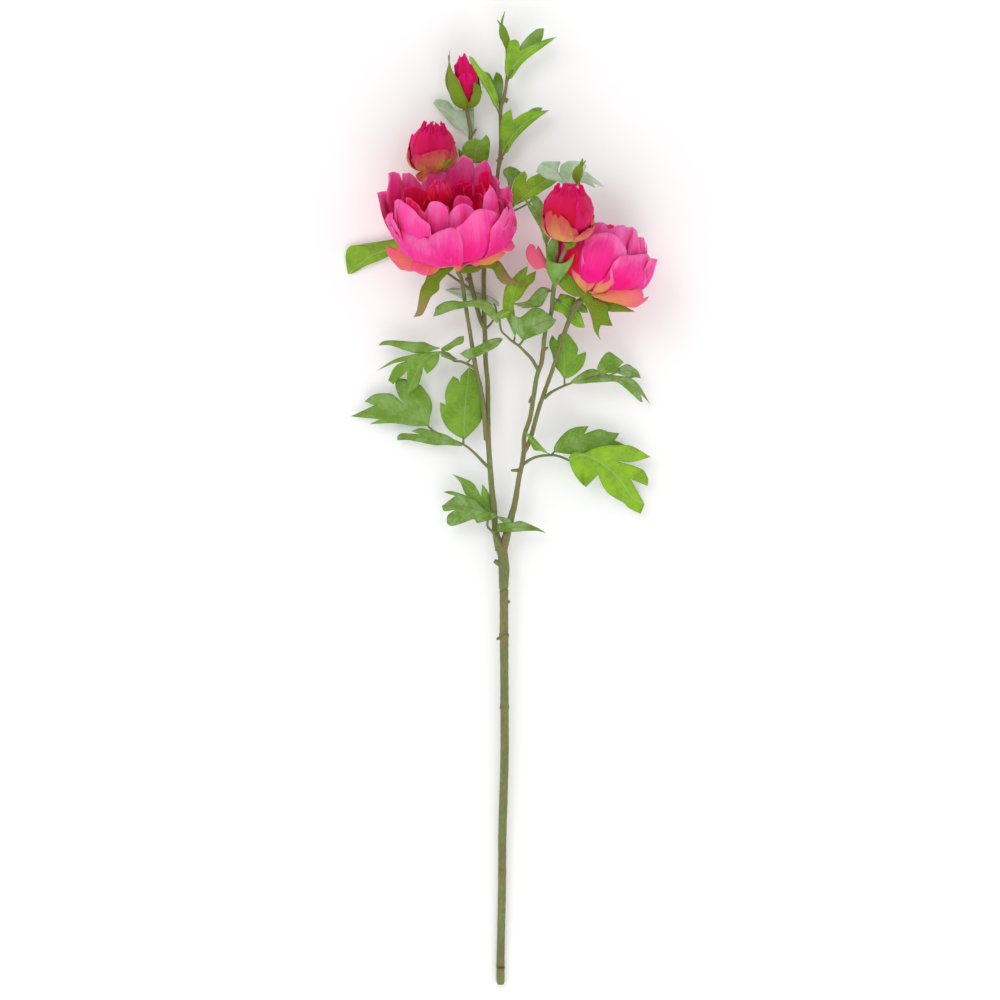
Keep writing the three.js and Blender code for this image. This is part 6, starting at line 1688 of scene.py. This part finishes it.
def leaf_material(name, colours, spacing, under=False, pale=False):
    """Printed leaf cloth: pale ribs on bright greens, brown ones on plain greens."""
    material, tree, shader, values = start_material(
        name, 0.62 if under else 0.55, Specular_IOR_Level=0.2)
    mottle = grouped(tree, "Mottle", Vector=values["place"], Scale=55.0)
    wander = maths(tree, "MULTIPLY", mottle["Patches"], 0.9)
    veins = grouped(tree, "Leaf Veins", Along=values["along"],
                    Across=values["across"], Spacing=spacing, Wander=wander)
    grain = grouped(tree, "Cloth Grain", Vector=values["place"])
    if under or pale:
        base = blend(tree, maths(tree, "MULTIPLY", mottle["Patches"], 0.45),
                     colours.leaf_under, colours.leaf_green)
        lines = blend(tree, 0.5, colours.leaf_under, (1, 1, 1, 1))
        share = 0.35
    else:
        bright = ramp_up(tree, values["tone"], 0.45, 1.0)
        dark = ramp_up(tree, values["tone"], 0.5, 0.0)
        base = blend(tree, bright, colours.leaf_green, colours.leaf_bright)
        base = blend(tree, dark, base, colours.leaf_dark)
        base = blend(tree, maths(tree, "MULTIPLY", mottle["Patches"], 0.5), base,
                     colours.leaf_dark)
        base = blend(tree, maths(tree, "MULTIPLY", mottle["Specks"], 0.1), base,
                     colours.leaf_under)
        plain = ramp_up(tree, values["tone"], 0.66, 0.4)
        # Painted sheen: on the plainer leaves, patches blend toward the pale underside colour,
        # for the grey-green shine of the satin cloth.
        sheen = maths(tree, "MULTIPLY", maths(tree, "SUBTRACT", 1.0, mottle["Patches"]), 0.24)
        base = blend(tree, maths(tree, "MULTIPLY", sheen, plain), base, colours.leaf_under)
        lines = blend(tree, 0.45, colours.leaf_bright, colours.leaf_under)
        lines = blend(tree, plain, lines, colours.stem_brown)
        share = 0.42
    both = maths(tree, "MAXIMUM", maths(tree, "MULTIPLY", veins["Veins"], 0.75),
                 veins["Rib"])
    base = blend(tree, maths(tree, "MULTIPLY", both, share), base, lines)
    base = blend(tree, maths(tree, "MULTIPLY", veins["Net"], 0.1), base, lines)
    tree.links.new(base, shader.inputs["Base Color"])
    relief = maths(tree, "MULTIPLY_ADD", veins["Net"], 0.3, both)
    relief = maths(tree, "MULTIPLY_ADD", grain["Weave"], 0.15, relief)
    bumped(tree, shader, relief, 0.0004 if under else -0.0004, 0.8)
    return material


def sepal_material(name, colours):
    """Olive sepals with tan, dried tips."""
    material, tree, shader, values = start_material(name, 0.55, Specular_IOR_Level=0.35)
    mottle = grouped(tree, "Mottle", Vector=values["place"], Scale=80.0)
    base = blend(tree, maths(tree, "MULTIPLY", mottle["Patches"], 0.6), colours.olive,
                 colours.leaf_green)
    bright = ramp_up(tree, values["tone"], 0.5, 1.0)
    base = blend(tree, bright, base, colours.leaf_bright)
    reach = maths(tree, "MULTIPLY_ADD", mottle["Patches"], 8.0, values["along"])
    dried = ramp_up(tree, reach, 40.0, 62.0)
    base = blend(tree, maths(tree, "MULTIPLY", dried, 0.75), base, colours.tan)
    tree.links.new(base, shader.inputs["Base Color"])
    relief = maths(tree, "ADD", mottle["Specks"], mottle["Patches"])
    bumped(tree, shader, relief, 0.0005)
    return material


def stem_material(name, colours):
    """Moulded stem: green with lengthwise brown streaks, tan patches and dark specks."""
    material, tree, shader, values = start_material(name, 0.55, Specular_IOR_Level=0.35)
    brown = add_node(tree, "ShaderNodeAttribute", attribute_name="brown").outputs["Fac"]
    stretched = add_node(tree, "ShaderNodeMapping", {
        "Vector": values["place"], "Scale": (1.0, 0.16, 1.0),
    }).outputs[0]
    streaks = grouped(tree, "Mottle", Vector=stretched, Scale=160.0, Low=0.4, High=0.6)
    mottle = grouped(tree, "Mottle", Vector=values["place"], Scale=28.0)
    share = maths(tree, "MULTIPLY", streaks["Patches"], 0.5)
    share = maths(tree, "MINIMUM", maths(tree, "MULTIPLY_ADD", brown, 0.5, share), 1.0)
    base = blend(tree, share, colours.stem_green, colours.stem_brown)
    base = blend(tree, maths(tree, "MULTIPLY", mottle["Patches"], 0.35), base, colours.tan)
    base = blend(tree, maths(tree, "MULTIPLY", streaks["Specks"], 0.5), base,
                 colours.leaf_dark)
    tree.links.new(base, shader.inputs["Base Color"])
    relief = maths(tree, "MULTIPLY_ADD", streaks["Specks"], 0.6, streaks["Patches"])
    bumped(tree, shader, relief, 0.0007)
    return material


# Colours of the foot, body, lip and folds. An inside that isn't named is as its outside.
SILKS = {
    "Bloom Silk": ("pink", "pink_light", "pink_pale", "pink"),
    "Heart Silk": ("crimson", "crimson", "pink_light", "crimson_deep"),
    # Painted shade: the heart's inside copy is darker at its foot and lip.
    "Heart Silk Inside": ("crimson_deep", "crimson", "pink_deep", "crimson_deep"),
    "Guard Silk": ("peach", "salmon", "salmon_pink", "salmon_pink"),
    "Bud Silk": ("bud_red", "bud_red", "pink", "crimson_deep"),
    # Painted shade: the bud's inside copy is darker at its foot and lip.
    "Bud Silk Inside": ("crimson_deep", "bud_red", "bud_red", "crimson_deep"),
    "Bud Foot Silk": ("peach", "bud_tan", "bud_red", "salmon"),
}


def finish_of(name):
    """The material of that name, made the first time that it is asked for."""
    if name in bpy.data.materials:
        return bpy.data.materials[name]
    colours = bpy.context.scene.peony_colours
    spacing = bpy.context.scene.peony_sizes.vein_spacing / MM
    silk = SILKS.get(name) or SILKS.get(name.removesuffix(" Inside"))
    if silk:
        return silk_material(name, *(getattr(colours, key) for key in silk))
    if name == "Moulded Stem":
        return stem_material(name, colours)
    if name.startswith("Sepal Cloth"):
        return sepal_material(name, colours)
    return leaf_material(name, colours, spacing, under=name == "Leaf Back",
                         pale=name == "Pale Leaf Top")


# ---------------------------------------------------------------- operators


class PEONY_OT_stage(bpy.types.Operator):
    """Make the floor, the soft light and the camera that looks straight down"""

    bl_idname = "peony.stage"
    bl_label = "Stage"

    def execute(self, context):
        scene = context.scene
        camera = bpy.data.cameras.new("Overhead Camera")
        camera.lens = CAMERA_LENS
        camera.clip_end = CAMERA_REACH
        holder = bpy.data.objects.new("Overhead Camera", camera)
        holder.location = (0, 0, CAMERA_HEIGHT)
        scene.collection.objects.link(holder)
        scene.camera = holder
        scene.view_settings.view_transform = "Standard"

        mesh = bpy.data.meshes.new("Floor")
        reach = FLOOR_REACH
        mesh.from_pydata([(-reach, -reach, 0), (reach, -reach, 0), (reach, reach, 0),
                          (-reach, reach, 0)], [], [(0, 1, 2, 3)])
        floor = link("Floor", mesh)
        paper = bpy.data.materials.new("Paper Floor")
        paper.use_nodes = True
        shader = paper.node_tree.nodes["Principled BSDF"]
        shader.inputs["Base Color"].default_value = scene.peony_colours.floor
        shader.inputs["Roughness"].default_value = 0.9
        mesh.materials.append(paper)

        world = bpy.data.worlds.new("Soft Room")
        world.use_nodes = True
        background = world.node_tree.nodes["Background"]
        background.inputs["Color"].default_value = (1, 1, 1, 1)
        background.inputs["Strength"].default_value = ROOM_LIGHT
        scene.world = world
        for name, place, size, power in LAMPS:
            light = bpy.data.lights.new(name, "AREA")
            light.size = size
            light.energy = power
            lamp = bpy.data.objects.new(name, light)
            lamp.location = place
            lamp.rotation_euler = (-Vector(place)).to_track_quat("-Z", "Y").to_euler()
            scene.collection.objects.link(lamp)
        return {"FINISHED"}


class PEONY_OT_stem(bpy.types.Operator):
    """Make the moulded stem, its branches, collars and cut stubs"""

    bl_idname = "peony.stem"
    bl_label = "Stem"

    def execute(self, context):
        sizes = context.scene.peony_sizes
        routes = [TRUNK, LEFT_BRANCH, CENTRE_STEM, BLOOM_A_STALK, BUD_C_STEM, BUD_E_STALK,
                  RIGHT_BRANCH, BUD_D_STALK, BLOOM_B_STALK, TINY_BUD_G_STALK, *STUBS]
        brown = [0.3, 0.3, 0.7, 0.35, 0.3, 0.4, 0.3, 0.3, 0.3, 0.35] + [0.6] * len(STUBS)
        mesh = tube_mesh("stem_moulded", routes, finish_of("Moulded Stem"), STEM_SIDES,
                         sizes.stem_step, sizes.stem_knobs, brown)
        dress(link("stem_moulded", mesh), ["stem"])
        return {"FINISHED"}


class PEONY_OT_leaves(bpy.types.Operator):
    """Make the cloth leaves on their moulded stalks"""

    bl_idname = "peony.leaves"
    bl_label = "Leaves"

    def execute(self, context):
        sizes = context.scene.peony_sizes
        for number, (node, leaf) in enumerate(LEAVES.items()):
            pale = node in PALE_LEAVES
            name = f"{node}_cloth"
            sheets = Sheets()
            for k, leaflet in enumerate(leaf["leaflets"]):
                add_leaflet(sheets, leaflet, LEAF_TONES[node][k], sizes,
                            number * LEAF_SEEDS + k)
            top = finish_of("Pale Leaf Top" if pale else "Leaf Top")
            blades = sheets.mesh(name, [top, finish_of("Leaf Back")])
            stalks = tube_mesh(f"{node}_stalks", leaf["stalks"], finish_of("Moulded Stem"),
                               STALK_SIDES, sizes.stem_step * 1.2, sizes.stem_knobs / 3, 0.1)
            mesh = joined_mesh(name, [blades, stalks])
            dress(link(name, mesh), [node])
        return {"FINISHED"}


def place_ring(name, node, flower, hub, petals, finish, sizes):
    """Makes one ring of petals on its hub, and puts it in place of the CAD ring."""
    thickness = sizes.petal_thickness / MM
    sheets = Sheets()
    add_hub(sheets, flower, hub)
    for k, petal in enumerate(petals):
        if "edge" in petal:
            dye = petal["dye"]
            add_leaflet(sheets, petal, petal["tone"], sizes, PETAL_SEED + k, (dye, dye + 1),
                        silk=True)
        else:
            add_petal(sheets, petal["flower"] or flower, petal, thickness)
    names = [finish, f"{finish} Inside"]
    if any(petal["dye"] for petal in petals):
        second = "Bloom Silk" if finish == "Heart Silk" else "Heart Silk"
        names += [second, f"{second} Inside"]
    piece = link(name, sheets.mesh(name, [finish_of(each) for each in names]))
    dress(piece, [node])


def place_calyx(flower_name, flower, calyx, sizes):
    """Makes the sepals under a flower and the moulded cup that they grow from."""
    name = f"{flower_name}_sepals"
    sheets = Sheets()
    for k, sepal in enumerate(calyx["sepals"]):
        add_leaflet(sheets, sepal, calyx["tones"][k], sizes, SEPAL_SEED + k)
    blades = sheets.mesh(name, [finish_of("Sepal Cloth")] * 2)
    bottom, top, radius = calyx["bottom"], calyx["top"], calyx["radius"]
    route = [[*in_flower(flower, h, 0, 0), r] for h, r in (
        (bottom, radius * 0.5), ((bottom + top) / 2, radius), (top, radius * 1.05))]
    cup = tube_mesh(f"{name}_cup", [route], finish_of("Sepal Cloth"), CUP_SIDES,
                    sizes.stem_step / 2, sizes.stem_knobs)
    piece = link(name, joined_mesh(name, [blades, cup]))
    dress(piece, [f"{flower_name}_calyx"])


def place_bloom(name, flower, hubs, rings, calyx, sizes):
    """Makes an open bloom: its sepals, and its rings of petals from the lowest up."""
    place_calyx(name, flower, calyx, sizes)
    parts = (("guard_petals", "Guard Silk", "guard_salmon"),
             ("outer_petals", "Bloom Silk", "petal_pink"),
             ("inner_petals", "Bloom Silk", "petal_pink"),
             ("heart", "Heart Silk", "heart_crimson"))
    for hub, petals, (part, finish, slot) in zip(hubs, rings, parts):
        place_ring(f"{name}_{part}_silk", f"{name}_{part}", flower, hub, petals, finish,
                   sizes)


class PEONY_OT_bloom_a(bpy.types.Operator):
    """Make the large open bloom on the left"""

    bl_idname = "peony.bloom_a"
    bl_label = "Large Bloom"

    def execute(self, context):
        place_bloom("bloom_a", BLOOM_A, A_HUBS, [A_GUARD, A_OUTER, A_INNER, A_HEART],
                    A_CALYX, context.scene.peony_sizes)
        return {"FINISHED"}


class PEONY_OT_bloom_b(bpy.types.Operator):
    """Make the closed round bloom on the right"""

    bl_idname = "peony.bloom_b"
    bl_label = "Round Bloom"

    def execute(self, context):
        place_bloom("bloom_b", BLOOM_B, B_HUBS, [B_GUARD, B_OUTER, B_INNER, B_HEART],
                    B_CALYX, context.scene.peony_sizes)
        return {"FINISHED"}


class PEONY_OT_open_buds(bpy.types.Operator):
    """Make the two half-open buds"""

    bl_idname = "peony.open_buds"
    bl_label = "Half-open Buds"

    def execute(self, context):
        sizes = context.scene.peony_sizes
        for name, flower, calyx, foot, heart in (
            ("bud_c", BUD_C, C_CALYX, C_FOOT, C_HEART),
            ("bud_d", BUD_D, D_CALYX, D_FOOT, D_HEART),
        ):
            place_calyx(name, flower, calyx, sizes)
            place_ring(f"{name}_foot_silk", f"{name}_foot_petals", flower, FOOT_HUB, foot,
                       "Bud Foot Silk", sizes)
            place_ring(f"{name}_heart_silk", f"{name}_heart", flower, BUD_HUB, heart,
                       "Bud Silk", sizes)
        return {"FINISHED"}


class PEONY_OT_closed_bud(bpy.types.Operator):
    """Make the closed bud in its sepals"""

    bl_idname = "peony.closed_bud"
    bl_label = "Closed Bud"

    def execute(self, context):
        sizes = context.scene.peony_sizes
        place_ring("bud_e_sepals_cloth", "bud_e_sepals", BUD_E, SEPAL_HUB, E_SEPALS,
                   "Sepal Cloth", sizes)
        route = [[*in_flower(BUD_E, h, 0, 0), r] for h, r in E_BODY]
        core = tube_mesh("bud_e_core", [route], finish_of("Bud Silk"), BUD_SIDES, 0.0012,
                         0.0006)
        lips = Sheets()
        for petal in E_LIPS:
            add_petal(lips, BUD_E, petal, sizes.petal_thickness / MM)
        silk = [finish_of("Bud Silk"), finish_of("Bud Silk Inside")]
        heart = joined_mesh("bud_e_heart_silk", [core, lips.mesh("bud_e_lips", silk)])
        dress(link("bud_e_heart_silk", heart), ["bud_e_heart"])
        return {"FINISHED"}


class PEONY_OT_tiny_buds(bpy.types.Operator):
    """Make the two tiny green buds"""

    bl_idname = "peony.tiny_buds"
    bl_label = "Tiny Buds"

    def execute(self, context):
        sizes = context.scene.peony_sizes
        for name, routes in (("tiny_bud_f", TINY_BUD_F), ("tiny_bud_g", TINY_BUD_G)):
            mesh = tube_mesh(f"{name}_moulded", routes, finish_of("Sepal Cloth"), CUP_SIDES,
                             sizes.stem_step / 3, sizes.stem_knobs)
            dress(link(f"{name}_moulded", mesh), [name])
        return {"FINISHED"}


class PEONY_PT_panel(bpy.types.Panel):
    """Lists the steps that build the spray"""

    bl_idname = "PEONY_PT_panel"
    bl_label = "Artificial Peony Spray"
    bl_space_type = "VIEW_3D"
    bl_region_type = "UI"
    bl_category = "Peony Spray"

    def draw(self, context):
        layout = self.layout
        for group in (context.scene.peony_sizes, context.scene.peony_colours):
            box = layout.box()
            for key in group.__annotations__:
                box.prop(group, key)
        for step in STEPS:
            layout.operator(step.bl_idname)


STEPS = (
    PEONY_OT_stage, PEONY_OT_stem, PEONY_OT_leaves, PEONY_OT_bloom_a, PEONY_OT_bloom_b,
    PEONY_OT_open_buds, PEONY_OT_closed_bud, PEONY_OT_tiny_buds,
)
CLASSES = (PeonySizes, PeonyColours, *STEPS, PEONY_PT_panel)


def register():
    for item in CLASSES:
        bpy.utils.register_class(item)
    bpy.types.Scene.peony_sizes = bpy.props.PointerProperty(type=PeonySizes)
    bpy.types.Scene.peony_colours = bpy.props.PointerProperty(type=PeonyColours)


def unregister():
    del bpy.types.Scene.peony_colours
    del bpy.types.Scene.peony_sizes
    for item in reversed(CLASSES):
        bpy.utils.unregister_class(item)


def main():
    """Builds the whole spray."""
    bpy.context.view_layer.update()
    register()
    for step in STEPS:
        group, call = step.bl_idname.split(".")
        getattr(getattr(bpy.ops, group), call)()


if __name__ == "__main__":
    main()
